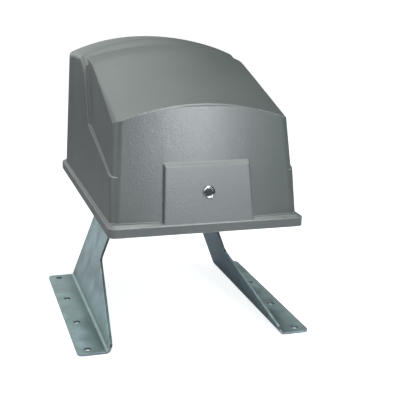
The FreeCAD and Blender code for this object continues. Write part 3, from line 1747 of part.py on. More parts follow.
right_side = right_leg()
battery = left_battery()
nodes = {
    "cover": cover(),
    "lock_body": lock_body(),
    "lock_nut": lock_nut(),
    "lock_plug": lock_plug(),
    "lock_cam": lock_cam(),
    "cam_screw": cam_screw(),
    "right_leg": right_side,
    "left_leg": mirrored(right_side),
    "leg_bolts": leg_bolts(),
    "leg_nuts": leg_nuts(),
    "chassis_tray": chassis_tray(),
    "conduit_bushings": conduit_bushings(),
    "lock_catch": lock_catch(),
    "tray_screws": tray_screws(),
    "gearbox_housing": gearbox_housing(),
    "gearbox_lid": gearbox_lid(),
    "lid_screws": lid_screws(),
    "gearbox_bolts": gearbox_bolts(),
    "lower_bearing": output_bearing(lower_bearing_z),
    "upper_bearing": output_bearing(upper_bearing_z),
    "output_seal": output_seal(),
    "worm_end_cap": worm_end_cap(),
    "worm_bearings": worm_bearings(),
    "worm_shaft": worm_shaft(),
    "worm_wheel": worm_wheel(),
    "wheel_key": wheel_key(),
    "output_shaft": output_shaft(),
    "wheel_spacer": wheel_spacer(),
    "limit_cam_open": limit_cam(open_cam_z, open_deg),
    "limit_cam_close": limit_cam(close_cam_z, close_deg),
    "sensor_bracket": sensor_bracket(),
    "limit_sensors": limit_sensors(),
    "sensor_screws": sensor_screws(),
    "motor_adapter": motor_adapter(),
    "motor_frame": motor_frame(),
    "motor_magnets": motor_magnets(),
    "motor_end_bell": motor_end_bell(),
    "motor_screws": motor_screws(),
    "motor_bearings": motor_bearings(),
    "motor_rotor": motor_rotor(),
    "drive_coupling": drive_coupling(),
    "control_plate": control_plate(),
    "power_switch": rocker_switch(switch_xs[0]),
    "power_rocker": rocker(switch_xs[0]),
    "battery_switch": rocker_switch(switch_xs[1]),
    "battery_rocker": rocker(switch_xs[1]),
    "reset_body": reset_body(),
    "reset_plunger": reset_plunger(),
    "alarm_siren": alarm_siren(),
    "control_board": control_board(),
    "board_standoffs": board_standoffs(),
    "terminal_blocks": terminal_blocks(),
    "board_modules": board_modules(),
    "board_capacitors": board_capacitors(),
    "heat_sink": heat_sink(),
    "power_supply": power_supply(),
    "supply_terminals": supply_terminals(),
    "left_battery": battery,
    "right_battery": mirrored(battery),
    "battery_strap": battery_strap(),
}
for node, shape in nodes.items():
    shape.exportStep("parts/" + node + ".step")
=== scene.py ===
import json
import math

import bmesh
import bpy
from mathutils import Matrix, Vector
from mathutils.bvhtree import BVHTree


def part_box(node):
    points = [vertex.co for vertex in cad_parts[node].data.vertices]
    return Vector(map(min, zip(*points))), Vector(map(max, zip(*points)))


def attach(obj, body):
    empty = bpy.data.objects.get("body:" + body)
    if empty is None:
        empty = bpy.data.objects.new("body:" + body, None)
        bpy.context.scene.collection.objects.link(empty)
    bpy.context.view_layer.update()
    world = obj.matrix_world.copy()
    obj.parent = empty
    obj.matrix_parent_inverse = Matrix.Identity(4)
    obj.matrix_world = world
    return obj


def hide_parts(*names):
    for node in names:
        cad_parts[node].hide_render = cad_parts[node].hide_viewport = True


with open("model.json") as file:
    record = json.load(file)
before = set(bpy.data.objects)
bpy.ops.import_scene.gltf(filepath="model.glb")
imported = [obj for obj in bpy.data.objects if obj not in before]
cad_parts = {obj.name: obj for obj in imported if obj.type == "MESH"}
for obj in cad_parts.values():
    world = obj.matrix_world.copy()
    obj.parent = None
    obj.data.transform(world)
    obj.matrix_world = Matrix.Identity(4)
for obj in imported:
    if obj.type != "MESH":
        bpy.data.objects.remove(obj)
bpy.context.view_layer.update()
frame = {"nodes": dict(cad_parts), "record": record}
nodes = frame["nodes"]
bodyOf = {}
for bodyName, members in frame["record"]["behaviour"]["bodies"].items():
    for member in members:
        bodyOf[member] = bodyName
print("frame loaded")


# Shader helpers
# Values of a pattern between which a layer of colour goes from nothing to its full share
spans = {"broad": (0.35, 0.65), "fine": (0.3, 0.7), "lines": (0.35, 0.75), "foldShade": (0.98, 0.70),
         "edge": (0.998, 0.86)}
bevelSamples = 4
foldShadeSamples = 8


def linear(hexText):
    values = []
    for i in (0, 2, 4):
        c = int(hexText[i:i + 2], 16) / 255
        values.append(c / 12.92 if c <= 0.04045 else ((c + 0.055) / 1.055) ** 2.4)
    return (*values, 1.0)


def perMetre(millimetres):
    # Pattern scale that gives features of this size
    return 1000.0 / millimetres


def setInputs(tree, node, inputs):
    for key, value in inputs.items():
        if isinstance(value, bpy.types.NodeSocket):
            tree.links.new(value, node.inputs[key])
        else:
            node.inputs[key].default_value = value


def addNode(tree, kind, inputs=None, **settings):
    node = tree.nodes.new("ShaderNode" + kind)
    for key, value in settings.items():
        setattr(node, key, value)
    setInputs(tree, node, inputs or {})
    return node


def startMaterial(name):
    material = bpy.data.materials.new(name)
    material.use_nodes = True
    tree = material.node_tree
    shader = tree.nodes["Principled BSDF"]
    coords = addNode(tree, "TexCoord").outputs["Object"]
    return material, tree, shader, coords


def layered(tree, base, pattern, span, share, colour):
    # Lays a colour over the base, up to its share, where the pattern is strong
    low, high = spans[span]
    amount = addNode(tree, "MapRange", {
        "Value": pattern, "From Min": low, "From Max": high, "To Min": 0.0, "To Max": share})
    inputs = {0: amount.outputs["Result"], 6: base, 7: linear(colour)}
    return addNode(tree, "Mix", inputs, data_type="RGBA").outputs[2]


def edgeWearAndHighlight(tree, base, look):
    # Paler colour along convex and concave edges, where a rounded normal turns away from the flat
    # one: partly rubbed wear and partly a painted highlight
    rounded = addNode(tree, "Bevel", {"Radius": look["edge"]}, samples=bevelSamples)
    flat = addNode(tree, "NewGeometry")
    turned = addNode(tree, "VectorMath", {0: rounded.outputs["Normal"], 1: flat.outputs["Normal"]},
                     operation="DOT_PRODUCT")
    return layered(tree, base, turned.outputs["Value"], "edge", look["edgeWearAndHighlightShare"],
                   look["edgeWearAndHighlightColour"])


def dressShader(tree, shader, look, base, shine, relief):
    # Colour, uneven shine and fine relief, with edges that catch the light as if rounded
    low, high = spans["fine"]
    rough = addNode(tree, "MapRange", {
        "Value": shine, "From Min": low, "From Max": high, "To Min": look["gloss"],
        "To Max": look["matte"]})
    edges = addNode(tree, "Bevel", {"Radius": look["bevel"]}, samples=bevelSamples)
    bump = addNode(tree, "Bump", {
        "Height": relief, "Distance": look["depth"], "Strength": look["strength"],
        "Normal": edges.outputs["Normal"]})
    setInputs(tree, shader, {
        "Base Color": base, "Roughness": rough.outputs["Result"], "Normal": bump.outputs["Normal"]})


# Materials, one function for each kind of finish
def pebbledPlastic(name, look):
    # Moulded plastic: a pebble that breaks up the shine, faint cloudy shade and paler edges that
    # are partly rubbed wear and partly painted highlight
    material, tree, shader, coords = startMaterial(name)
    cloud = addNode(tree, "TexNoise", {
        "Vector": coords, "Scale": perMetre(look["cloud"]), "Detail": 2.0}).outputs["Fac"]
    speck = addNode(tree, "TexNoise", {
        "Vector": coords, "Scale": perMetre(look["speck"]), "Detail": 2.0}).outputs["Fac"]
    grain = addNode(tree, "TexVoronoi", {
        "Vector": coords, "Scale": perMetre(look["pebble"]), "Smoothness": 0.6},
        feature="SMOOTH_F1")
    base = layered(tree, linear(look["dark"]), cloud, "broad", 1.0, look["light"])
    base = layered(tree, base, speck, "fine", look["speckShare"], look["speckColour"])
    base = edgeWearAndHighlight(tree, base, look)
    dressShader(tree, shader, look, base, speck, grain.outputs["Distance"])
    setInputs(tree, shader, {"Specular IOR Level": look["specular"]})
    return material


def platedSteel(name, look):
    # Plated or ground metal: soft blotches, fine lines along the sheet and a metallic shine,
    # and on the bent plate a painted shade that darkens its folds
    material, tree, shader, coords = startMaterial(name)
    blotch = addNode(tree, "TexNoise", {
        "Vector": coords, "Scale": perMetre(look["blotch"]), "Detail": 4.0,
        "Roughness": 0.6}).outputs["Fac"]
    lineScale = tuple(perMetre(size) for size in look["lines"])
    lineCoords = addNode(tree, "Mapping", {"Vector": coords, "Scale": lineScale}).outputs["Vector"]
    lines = addNode(tree, "TexNoise", {
        "Vector": lineCoords, "Scale": 1.0, "Detail": 3.0}).outputs["Fac"]
    base = layered(tree, linear(look["dark"]), blotch, "broad", 1.0, look["light"])
    base = layered(tree, base, lines, "lines", look["lineShare"], look["lineColour"])
    if "foldShade" in look:
        # Painted shade: the colour is darkened where ambient occlusion finds a fold
        openness = addNode(tree, "AmbientOcclusion", {"Distance": look["foldShade"]},
                           samples=foldShadeSamples, only_local=True).outputs["AO"]
        base = layered(tree, base, openness, "foldShade", look["foldShadeShare"], look["foldShadeColour"])
    base = edgeWearAndHighlight(tree, base, look)
    dressShader(tree, shader, look, base, blotch, lines)
    setInputs(tree, shader, {"Metallic": look["metal"]})
    return material


def castMetal(name, look):
    # Sand or die cast skin: fine lumps, small pits and duller hollows
    material, tree, shader, coords = startMaterial(name)
    lumps = addNode(tree, "TexNoise", {
        "Vector": coords, "Scale": perMetre(look["lumps"]), "Detail": 4.0,
        "Roughness": 0.65}).outputs["Fac"]
    stain = addNode(tree, "TexNoise", {
        "Vector": coords, "Scale": perMetre(look["stain"]), "Detail": 3.0}).outputs["Fac"]
    base = layered(tree, linear(look["dark"]), stain, "broad", 1.0, look["light"])
    base = edgeWearAndHighlight(tree, base, look)
    dressShader(tree, shader, look, base, lumps, lumps)
    setInputs(tree, shader, {"Metallic": look["metal"]})
    return material


def printedBoard(name, look):
    # Green solder mask over copper: raised tracks in two directions and dots of bare pad
    material, tree, shader, coords = startMaterial(name)
    flatCoords = addNode(tree, "Mapping", {"Vector": coords, "Rotation": look["turn"]})
    tracks = addNode(tree, "TexBrick", {
        "Vector": flatCoords.outputs["Vector"], "Scale": perMetre(look["trackUnit"]),
        "Mortar Size": look["trackWidth"], "Mortar Smooth": 0.2, "Bias": 0.0,
        "Brick Width": look["trackLength"], "Row Height": look["trackPitch"],
        "Color1": linear(look["mask"]), "Color2": linear(look["maskLight"]),
        "Mortar": linear(look["track"])})
    cells = addNode(tree, "TexVoronoi", {
        "Vector": coords, "Scale": perMetre(look["padPitch"]), "Randomness": 0.25})
    pad = addNode(tree, "MapRange", {
        "Value": cells.outputs["Distance"], "From Min": look["padSize"],
        "From Max": look["padSize"] - look["padRim"]}).outputs["Result"]
    base = addNode(tree, "Mix", {
        0: pad, 6: tracks.outputs["Color"], 7: linear(look["padColour"])}, data_type="RGBA")
    rough = addNode(tree, "MapRange", {
        "Value": pad, "To Min": look["gloss"], "To Max": look["matte"]})
    metal = addNode(tree, "MapRange", {"Value": pad, "To Max": look["padMetal"]})
    bump = addNode(tree, "Bump", {
        "Height": tracks.outputs["Fac"], "Distance": look["depth"], "Strength": look["strength"]})
    setInputs(tree, shader, {
        "Base Color": base.outputs[2], "Roughness": rough.outputs["Result"],
        "Metallic": metal.outputs["Result"], "Normal": bump.outputs["Normal"]})
    return material


# Lengths in metres, and the sizes of patterns in millimetres
looks = {
    # The pebble is drawn coarser than moulded grain usually is, so that it shows
    # The cover's strong pale edge colour is a painted highlight along its edges and creases
    "cover_plastic": (pebbledPlastic, {
        "dark": "5e6463", "light": "666c6b", "cloud": 160.0, "speck": 1.1, "speckShare": 0.16,
        "speckColour": "4d5252", "edge": 0.0026, "edgeWearAndHighlightShare": 0.70, "edgeWearAndHighlightColour": "c3caca",
        "pebble": 2.6, "depth": 0.00030, "strength": 0.5, "gloss": 0.30, "matte": 0.40,
        "specular": 0.8, "bevel": 0.0028}),
    "zinc_steel": (platedSteel, {
        "dark": "aec3c3", "light": "c7dde1", "blotch": 42.0, "lines": (0.9, 90.0, 0.9),
        "lineShare": 0.30, "lineColour": "82949a", "edge": 0.0010, "edgeWearAndHighlightShare": 0.5,
        "edgeWearAndHighlightColour": "cfd6d8", "metal": 0.85, "gloss": 0.30, "matte": 0.46, "depth": 0.00004,
        # The fold colour is painted shade in the bend between foot and web
        "strength": 0.35, "bevel": 0.0006, "foldShade": 0.05, "foldShadeShare": 0.75,
        "foldShadeColour": "5d6b6c"}),
    "lock_chrome": (platedSteel, {
        "dark": "a9adb0", "light": "c2c6c9", "blotch": 6.0, "lines": (0.3, 0.3, 0.3),
        "lineShare": 0.12, "lineColour": "7d8184", "edge": 0.0004, "edgeWearAndHighlightShare": 0.3,
        "edgeWearAndHighlightColour": "e9ecee", "metal": 1.0, "gloss": 0.08, "matte": 0.16, "depth": 0.00001,
        "strength": 0.15, "bevel": 0.0003}),
    "fastener_steel": (platedSteel, {
        "dark": "a8a9a2", "light": "bfc0bc", "blotch": 7.0, "lines": (0.4, 0.4, 3.0),
        "lineShare": 0.3, "lineColour": "8a8b86", "edge": 0.0005, "edgeWearAndHighlightShare": 0.5,
        "edgeWearAndHighlightColour": "dcdcd8", "metal": 0.95, "gloss": 0.24, "matte": 0.40, "depth": 0.00003,
        "strength": 0.3, "bevel": 0.0003}),
    "cast_aluminium": (castMetal, {
        "dark": "8f9294", "light": "a5a8aa", "lumps": 2.2, "stain": 36.0, "edge": 0.0014,
        "edgeWearAndHighlightShare": 0.45, "edgeWearAndHighlightColour": "cdd0d2", "metal": 0.7, "gloss": 0.42, "matte": 0.62,
        "depth": 0.00030, "strength": 0.45, "bevel": 0.0012}),
    "ground_steel": (platedSteel, {
        "dark": "b3b5b8", "light": "c6c8ca", "blotch": 20.0, "lines": (30.0, 0.35, 30.0),
        "lineShare": 0.35, "lineColour": "8f9194", "edge": 0.0006, "edgeWearAndHighlightShare": 0.4,
        "edgeWearAndHighlightColour": "e4e6e8", "metal": 1.0, "gloss": 0.20, "matte": 0.32, "depth": 0.00002,
        "strength": 0.35, "bevel": 0.0004}),
    "gear_bronze": (platedSteel, {
        "dark": "a9834a", "light": "c09a5c", "blotch": 16.0, "lines": (0.6, 0.6, 12.0),
        "lineShare": 0.3, "lineColour": "86652f", "edge": 0.0006, "edgeWearAndHighlightShare": 0.4,
        "edgeWearAndHighlightColour": "e0c08a", "metal": 1.0, "gloss": 0.28, "matte": 0.42, "depth": 0.00003,
        "strength": 0.3, "bevel": 0.0004}),
    "black_rubber": (pebbledPlastic, {
        "dark": "1b1b1c", "light": "232324", "cloud": 24.0, "speck": 0.5, "speckShare": 0.2,
        "speckColour": "303031", "edge": 0.0008, "edgeWearAndHighlightShare": 0.3, "edgeWearAndHighlightColour": "3c3c3d",
        "pebble": 0.6, "depth": 0.00006, "strength": 0.4, "gloss": 0.6, "matte": 0.75,
        "specular": 0.35, "bevel": 0.0004}),
    "motor_paint": (pebbledPlastic, {
        "dark": "1d1e20", "light": "26272a", "cloud": 60.0, "speck": 1.2, "speckShare": 0.15,
        "speckColour": "34363a", "edge": 0.0010, "edgeWearAndHighlightShare": 0.35, "edgeWearAndHighlightColour": "55585c",
        "pebble": 3.0, "depth": 0.00008, "strength": 0.3, "gloss": 0.26, "matte": 0.36,
        "specular": 0.5, "bevel": 0.0008}),
    "magnet_ferrite": (castMetal, {
        "dark": "2a2a2c", "light": "38383b", "lumps": 0.8, "stain": 14.0, "edge": 0.0008,
        "edgeWearAndHighlightShare": 0.4, "edgeWearAndHighlightColour": "5a5a5e", "metal": 0.1, "gloss": 0.55, "matte": 0.75,
        "depth": 0.00008, "strength": 0.5, "bevel": 0.0004}),
    "black_plastic": (pebbledPlastic, {
        "dark": "202124", "light": "2a2b2e", "cloud": 45.0, "speck": 0.5, "speckShare": 0.18,
        "speckColour": "3a3b3e", "edge": 0.0007, "edgeWearAndHighlightShare": 0.4, "edgeWearAndHighlightColour": "55575b",
        "pebble": 0.8, "depth": 0.00006, "strength": 0.4, "gloss": 0.38, "matte": 0.52,
        "specular": 0.45, "bevel": 0.0004}),
    "red_plastic": (pebbledPlastic, {
        "dark": "a81c18", "light": "bb2a22", "cloud": 6.0, "speck": 0.4, "speckShare": 0.12,
        "speckColour": "7c100d", "edge": 0.0004, "edgeWearAndHighlightShare": 0.4, "edgeWearAndHighlightColour": "e06a60",
        "pebble": 0.5, "depth": 0.00003, "strength": 0.25, "gloss": 0.18, "matte": 0.28,
        "specular": 0.5, "bevel": 0.0003}),
    # The tracks are measured in units of 10 mm, and the pads' size and rim in pitches
    "board_laminate": (printedBoard, {
        "mask": "0f5a34", "maskLight": "12633a", "track": "1c7a4a", "turn": (math.pi / 2, 0.0, 0.0),
        "trackUnit": 10.0, "trackWidth": 0.045, "trackLength": 1.4, "trackPitch": 0.36,
        "padPitch": 5.5, "padSize": 0.13, "padRim": 0.04, "padMetal": 0.8, "padColour": "c9b26a",
        "gloss": 0.25, "matte": 0.35, "depth": 0.00006, "strength": 0.5}),
    "terminal_plastic": (pebbledPlastic, {
        "dark": "2c7a45", "light": "348a50", "cloud": 14.0, "speck": 0.4, "speckShare": 0.12,
        "speckColour": "1f5c33", "edge": 0.0005, "edgeWearAndHighlightShare": 0.4, "edgeWearAndHighlightColour": "6cb886",
        "pebble": 0.6, "depth": 0.00004, "strength": 0.3, "gloss": 0.32, "matte": 0.44,
        "specular": 0.45, "bevel": 0.0003}),
    "case_steel": (platedSteel, {
        "dark": "a3a7a9", "light": "bcc0c2", "blotch": 11.0, "lines": (0.7, 60.0, 0.7),
        "lineShare": 0.2, "lineColour": "8d9193", "edge": 0.0006, "edgeWearAndHighlightShare": 0.4,
        "edgeWearAndHighlightColour": "dee1e2", "metal": 0.9, "gloss": 0.28, "matte": 0.44, "depth": 0.00003,
        "strength": 0.3, "bevel": 0.0005}),
    "sink_aluminium": (platedSteel, {
        "dark": "3a3c40", "light": "46494d", "blotch": 20.0, "lines": (0.5, 0.5, 50.0),
        "lineShare": 0.35, "lineColour": "2b2d30", "edge": 0.0005, "edgeWearAndHighlightShare": 0.5,
        "edgeWearAndHighlightColour": "8a8d92", "metal": 0.7, "gloss": 0.34, "matte": 0.48, "depth": 0.00004,
        "strength": 0.35, "bevel": 0.0003}),
}
materials = {}
for slotName, (makeLook, look) in looks.items():
    materials[slotName] = makeLook(slotName.replace("_", " "), look)
# Dark colour for the plate's ends above the foot: partly bare sheared steel and partly painted
# shade
shearedSteelAndShade = platedSteel("sheared steel edge and painted shade", {
    "dark": "4b5153", "light": "646b6d", "blotch": 9.0, "lines": (0.5, 0.5, 0.5), "lineShare": 0.4,
    "lineColour": "3c4143", "edge": 0.0007, "edgeWearAndHighlightShare": 0.6, "edgeWearAndHighlightColour": "b8bfc1", "metal": 0.6,
    "gloss": 0.42, "matte": 0.6, "depth": 0.00008, "strength": 0.5, "bevel": 0.0005})
# The key plug's near black colour is a painted dark reflection of the chrome, and its pale edges
# are painted glints
plugDarkReflection = platedSteel("key plug painted dark as a reflection", {
    "dark": "26292b", "light": "3a3d40", "blotch": 3.0, "lines": (0.3, 0.3, 0.3), "lineShare": 0.3,
    "lineColour": "2a2c2e", "edge": 0.0004, "edgeWearAndHighlightShare": 0.5, "edgeWearAndHighlightColour": "d5d9db", "metal": 0.9,
    "gloss": 0.16, "matte": 0.26, "depth": 0.00001, "strength": 0.2, "bevel": 0.0002})
print("materials made")


# Mesh helpers
mergeDistance = 2e-6


def mergedMesh(nodeName):
    mesh = bmesh.new()
    mesh.from_mesh(nodes[nodeName].data)
    bmesh.ops.remove_doubles(mesh, verts=mesh.verts, dist=mergeDistance)
    return mesh


def placeMesh(name, mesh, slotName, angle):
    data = bpy.data.meshes.new(name)
    mesh.to_mesh(data)
    mesh.free()
    for polygon in data.polygons:
        polygon.use_smooth = True
    data.set_sharp_from_angle(angle=math.radians(angle))
    data.materials.append(materials[slotName])
    piece = bpy.data.objects.new(name, data)
    bpy.context.scene.collection.objects.link(piece)
    return piece


def finishPiece(piece, bodyName, slotName, *replaced):
    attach(piece, bodyName)
    if replaced:
        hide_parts(*replaced)
    return piece


def roundEdges(piece, width, segments, angle):
    bevel = piece.modifiers.new("rounded edges", "BEVEL")
    bevel.width = width
    bevel.segments = segments
    bevel.limit_method = "ANGLE"
    bevel.angle_limit = math.radians(angle)
    bevel.harden_normals = True
    weighted = piece.modifiers.new("flat faces stay flat", "WEIGHTED_NORMAL")
    weighted.keep_sharp = True


def roundedCopy(nodeName, look):
    mesh = mergedMesh(nodeName)
    flat = math.radians(look["flat"])
    bmesh.ops.dissolve_limit(mesh, angle_limit=flat, verts=mesh.verts, edges=mesh.edges)
    slotName = look["slot"]
    piece = placeMesh(look["name"], mesh, slotName, look["smooth"])
    roundEdges(piece, look["radius"], look["segments"], look["smooth"])
    return finishPiece(piece, bodyOf[nodeName], slotName, nodeName)


# Moulded cover, with the shading of the CAD faces carried over and the front wall's bow led on
# into its corners. The top edge of its lock panel is drawn down to a slope that catches the light.
coverLook = {
    "name": "moulded_cover", "slot": "cover_plastic", "smooth": 180.0, "lipTop": 0.268,
    "bowEnd": 0.1455, "bowAngle": 6.2, "facing": -0.8, "upward": 0.3,
    "panelHalf": 0.0815, "panelTop": 0.376, "panelRound": 0.0027, "fall": 0.62,
    "rayStart": -1.0, "rayAbove": 0.001}
coverData = nodes["cover"].data
leastTurn = math.sin(math.radians(coverLook["bowAngle"]))
coverMesh = mergedMesh("cover")
coverTree = BVHTree.FromBMesh(coverMesh)


def panelDepth(point):
    # How far a point on the top edge of the lock panel stands in front of the wall above it
    offTop = abs(point.z - coverLook["panelTop"])
    if abs(point.x) > coverLook["panelHalf"] or offTop > coverLook["panelRound"]:
        return 0.0
    start = Vector((point.x, coverLook["rayStart"], coverLook["panelTop"] + coverLook["rayAbove"]))
    wall = coverTree.ray_cast(start, Vector((0.0, 1.0, 0.0)))[0]
    return max(0.0, wall.y - point.y)


slope = Vector((0.0, -coverLook["fall"], 1.0)).normalized()
coverNormals = []
for corner, loop in zip(coverData.corner_normals, coverData.loops):
    normal = Vector(corner.vector)
    point = coverData.vertices[loop.vertex_index].co
    outward = math.copysign(1.0, point.x)
    onCorner = abs(point.x) > coverLook["bowEnd"] and point.z > coverLook["lipTop"]
    if onCorner and normal.y < coverLook["facing"] and normal.x * outward < leastTurn:
        normal.x = 0.0
        normal = normal.normalized() * math.sqrt(1 - leastTurn ** 2)
        normal.x = leastTurn * outward
    if normal.z > coverLook["upward"] and panelDepth(point) > 0.0:
        normal = slope
    coverNormals.append(normal)
for vert in coverMesh.verts:
    depth = panelDepth(vert.co)
    if depth > 0.0:
        vert.co.z = min(vert.co.z, coverLook["panelTop"] - coverLook["fall"] * depth)
cover = placeMesh(coverLook["name"], coverMesh, coverLook["slot"], coverLook["smooth"])
if len(cover.data.loops) == len(coverNormals):
    cover.data.normals_split_custom_set(coverNormals)
finishPiece(cover, bodyOf["cover"], coverLook["slot"], "cover")
print("cover done")

# Bent plate legs, with the ends of the plate above the foot painted darker than its plated faces,
# partly as bare sheared steel and partly as painted shade
legLook = {
    "slot": "zinc_steel", "flat": 0.2, "smooth": 30.0, "radius": 0.0005, "segments": 2,
    "footTop": 0.008, "endFacing": 0.3}
for nodeName in ("right_leg", "left_leg"):
    leg = roundedCopy(nodeName, {**legLook, "name": "plated_" + nodeName})
    leg.data.materials.append(shearedSteelAndShade)
    for polygon in leg.data.polygons:
        facesEnd = abs(polygon.normal.y) > legLook["endFacing"]
        if facesEnd and polygon.center.z > legLook["footTop"]:
            polygon.material_index = 1
print("legs done")


# Turned and hexagonal prototypes, as rings of points in millimetres that are joined one to the next
crossArm = 0.3  # half width of a cross recess over its half length
tiny = 1e-6


def outline(shape, size, angle):
    c, s = abs(math.cos(angle)), abs(math.sin(angle))
    if shape == "hex":
        return size / math.cos((angle % (math.pi / 3)) - math.pi / 6)
    if shape == "cross":
        return min(size / max(c, s), crossArm * size / max(min(c, s), tiny))
    return size


def ringStack(mesh, rings, place=Matrix(), count=24, closed=False):
    loops = []
    for shape, size, height in rings:
        loop = []
        for i in range(count):
            angle = 2 * math.pi * i / count
            radius = outline(shape, size, angle) / 1000
            point = Vector((radius * math.cos(angle), radius * math.sin(angle), height / 1000))
            loop.append(mesh.verts.new(place @ point))
        loops.append(loop)
    pairs = list(zip(loops, loops[1:]))
    if closed:
        pairs.append((loops[-1], loops[0]))
    for low, high in pairs:
        for i in range(count):
            j = (i + 1) % count
            mesh.faces.new((low[i], low[j], high[j], high[i]))
    if not closed:
        mesh.faces.new(list(reversed(loops[0])))
        mesh.faces.new(loops[-1])


def repeatTree(name):
    # Copies of a prototype on the points of a carrier, each turned by its own amount
    tree = bpy.data.node_groups.new(name, "GeometryNodeTree")
    sockets = {}
    for label, kind in (("Points", "Geometry"), ("Prototype", "Object"), ("Finish", "Material"),
                        ("Largest turn", "Vector")):
        socket = tree.interface.new_socket(label, in_out="INPUT", socket_type="NodeSocket" + kind)
        sockets[label] = socket.identifier
    tree.interface.new_socket("Pieces", in_out="OUTPUT", socket_type="NodeSocketGeometry")
    given = tree.nodes.new("NodeGroupInput")
    made = tree.nodes.new("NodeGroupOutput")
    shape = tree.nodes.new("GeometryNodeObjectInfo")
    turn = tree.nodes.new("FunctionNodeRandomValue")
    turn.data_type = "FLOAT_VECTOR"
    turn.inputs["Seed"].default_value = 0
    copies = tree.nodes.new("GeometryNodeInstanceOnPoints")
    real = tree.nodes.new("GeometryNodeRealizeInstances")
    finish = tree.nodes.new("GeometryNodeSetMaterial")
    join = tree.links.new
    join(given.outputs["Prototype"], shape.inputs["Object"])
    join(given.outputs["Largest turn"], turn.inputs["Max"])
    join(given.outputs["Points"], copies.inputs["Points"])
    join(shape.outputs["Geometry"], copies.inputs["Instance"])
    join(turn.outputs["Value"], copies.inputs["Rotation"])
    join(copies.outputs["Instances"], real.inputs["Geometry"])
    join(real.outputs["Geometry"], finish.inputs["Geometry"])
    join(given.outputs["Finish"], finish.inputs["Material"])
    join(finish.outputs["Geometry"], made.inputs["Pieces"])
    return tree, sockets


repeats, repeatSockets = repeatTree("repeated pieces")


def repeated(look, prototypeMesh):
    bmesh.ops.recalc_face_normals(prototypeMesh, faces=prototypeMesh.faces)
    prototype = placeMesh(look["name"] + "_prototype", prototypeMesh, look["slot"], look["smooth"])
    points = bpy.data.meshes.new(look["name"] + "_points")
    points.from_pydata([tuple(c / 1000 for c in place) for place in look["places"]], [], [])
    carrier = bpy.data.objects.new(look["name"] + "_carrier", points)
    bpy.context.scene.collection.objects.link(carrier)
    modifier = carrier.modifiers.new("repeats", "NODES")
    modifier.node_group = repeats
    modifier[repeatSockets["Prototype"]] = prototype
    modifier[repeatSockets["Finish"]] = materials[look["slot"]]
    modifier[repeatSockets["Largest turn"]] = look["turn"]
    bpy.context.view_layer.update()
    evaluated = carrier.evaluated_get(bpy.context.evaluated_depsgraph_get())
    made = bpy.data.meshes.new_from_object(evaluated)
    made.name = look["name"]
    piece = bpy.data.objects.new(look["name"], made)
    bpy.context.scene.collection.objects.link(piece)
    carrier.modifiers.remove(modifier)
    bpy.data.objects.remove(carrier)
    bpy.data.objects.remove(prototype)
    return finishPiece(piece, look["body"], look["slot"], *look["replaced"])


def islandBoxes(nodeName):
    # Lowest and highest corner of each separate solid of a node, in millimetres
    mesh = mergedMesh(nodeName)
    seen = set()
    boxes = []
    for first in mesh.verts:
        if first in seen:
            continue
        seen.add(first)
        waiting = [first]
        found = []
        while waiting:
            vert = waiting.pop()
            found.append(vert.co * 1000)
            for edge in vert.link_edges:
                other = edge.other_vert(vert)
                if other not in seen:
                    seen.add(other)
                    waiting.append(other)
        low = [min(point[k] for point in found) for k in range(3)]
        high = [max(point[k] for point in found) for k in range(3)]
        boxes.append((low, high))
    mesh.free()
    return boxes


def midpoints(nodeName, top):
    places = []
    for low, high in islandBoxes(nodeName):
        level = high[2] if top else low[2]
        places.append(((low[0] + high[0]) / 2, (low[1] + high[1]) / 2, level))
    return places


# Socket-head screws of the gearbox lid, measured down from the tops of their heads
lidScrewLook = {
    "name": "socket_lid_screws", "slot": "fastener_steel", "body": bodyOf["lid_screws"],
    "replaced": ["lid_screws"], "places": midpoints("lid_screws", True), "smooth": 35.0,
    "turn": (0.0, 0.0, 1.0),
    "rings": [("round", 1.9, -29.0), ("round", 2.5, -28.2), ("round", 2.5, -5.0),
              ("round", 4.25, -5.0), ("round", 4.25, -0.5), ("round", 3.85, 0.0),
              ("hex", 2.0, 0.0), ("hex", 2.0, -2.6)]}
# Chamfered hexagon bolts of the legs, measured up from the undersides of their heads
legBoltLook = {
    "name": "hexagon_leg_bolts", "slot": "fastener_steel", "body": bodyOf["leg_bolts"],
    "replaced": ["leg_bolts"], "places": midpoints("leg_bolts", False), "smooth": 25.0,
    "turn": (0.0, 0.0, 0.0),
    "rings": [("round", 7.7, 0.0), ("hex", 8.5, 0.9), ("hex", 8.5, 6.6), ("round", 8.2, 7.0),
              ("round", 5.0, 7.0), ("round", 5.0, 24.2), ("round", 4.4, 25.0)]}
# Clamp screws in the tops of the terminal blocks
terminalLook = {
    "name": "terminal_screws", "slot": "fastener_steel", "body": bodyOf["terminal_blocks"],
    "replaced": [], "places": [], "ways": {"terminal_blocks": 6, "supply_terminals": 7},
    "smooth": 30.0, "turn": (0.0, 0.0, 3.0),
    "rings": [("round", 2.3, -1.0), ("round", 2.3, 0.35), ("round", 2.05, 0.6),
              ("cross", 1.5, 0.6), ("cross", 1.2, -0.4)]}
for nodeName, ways in terminalLook["ways"].items():
    for low, high in islandBoxes(nodeName):
        for i in range(ways):
            x = low[0] + (high[0] - low[0]) * (i + 0.5) / ways
            terminalLook["places"].append((x, (low[1] + high[1]) / 2, high[2]))
for look in (lidScrewLook, legBoltLook, terminalLook):
    prototypeMesh = bmesh.new()
    ringStack(prototypeMesh, look["rings"])
    repeated(look, prototypeMesh)

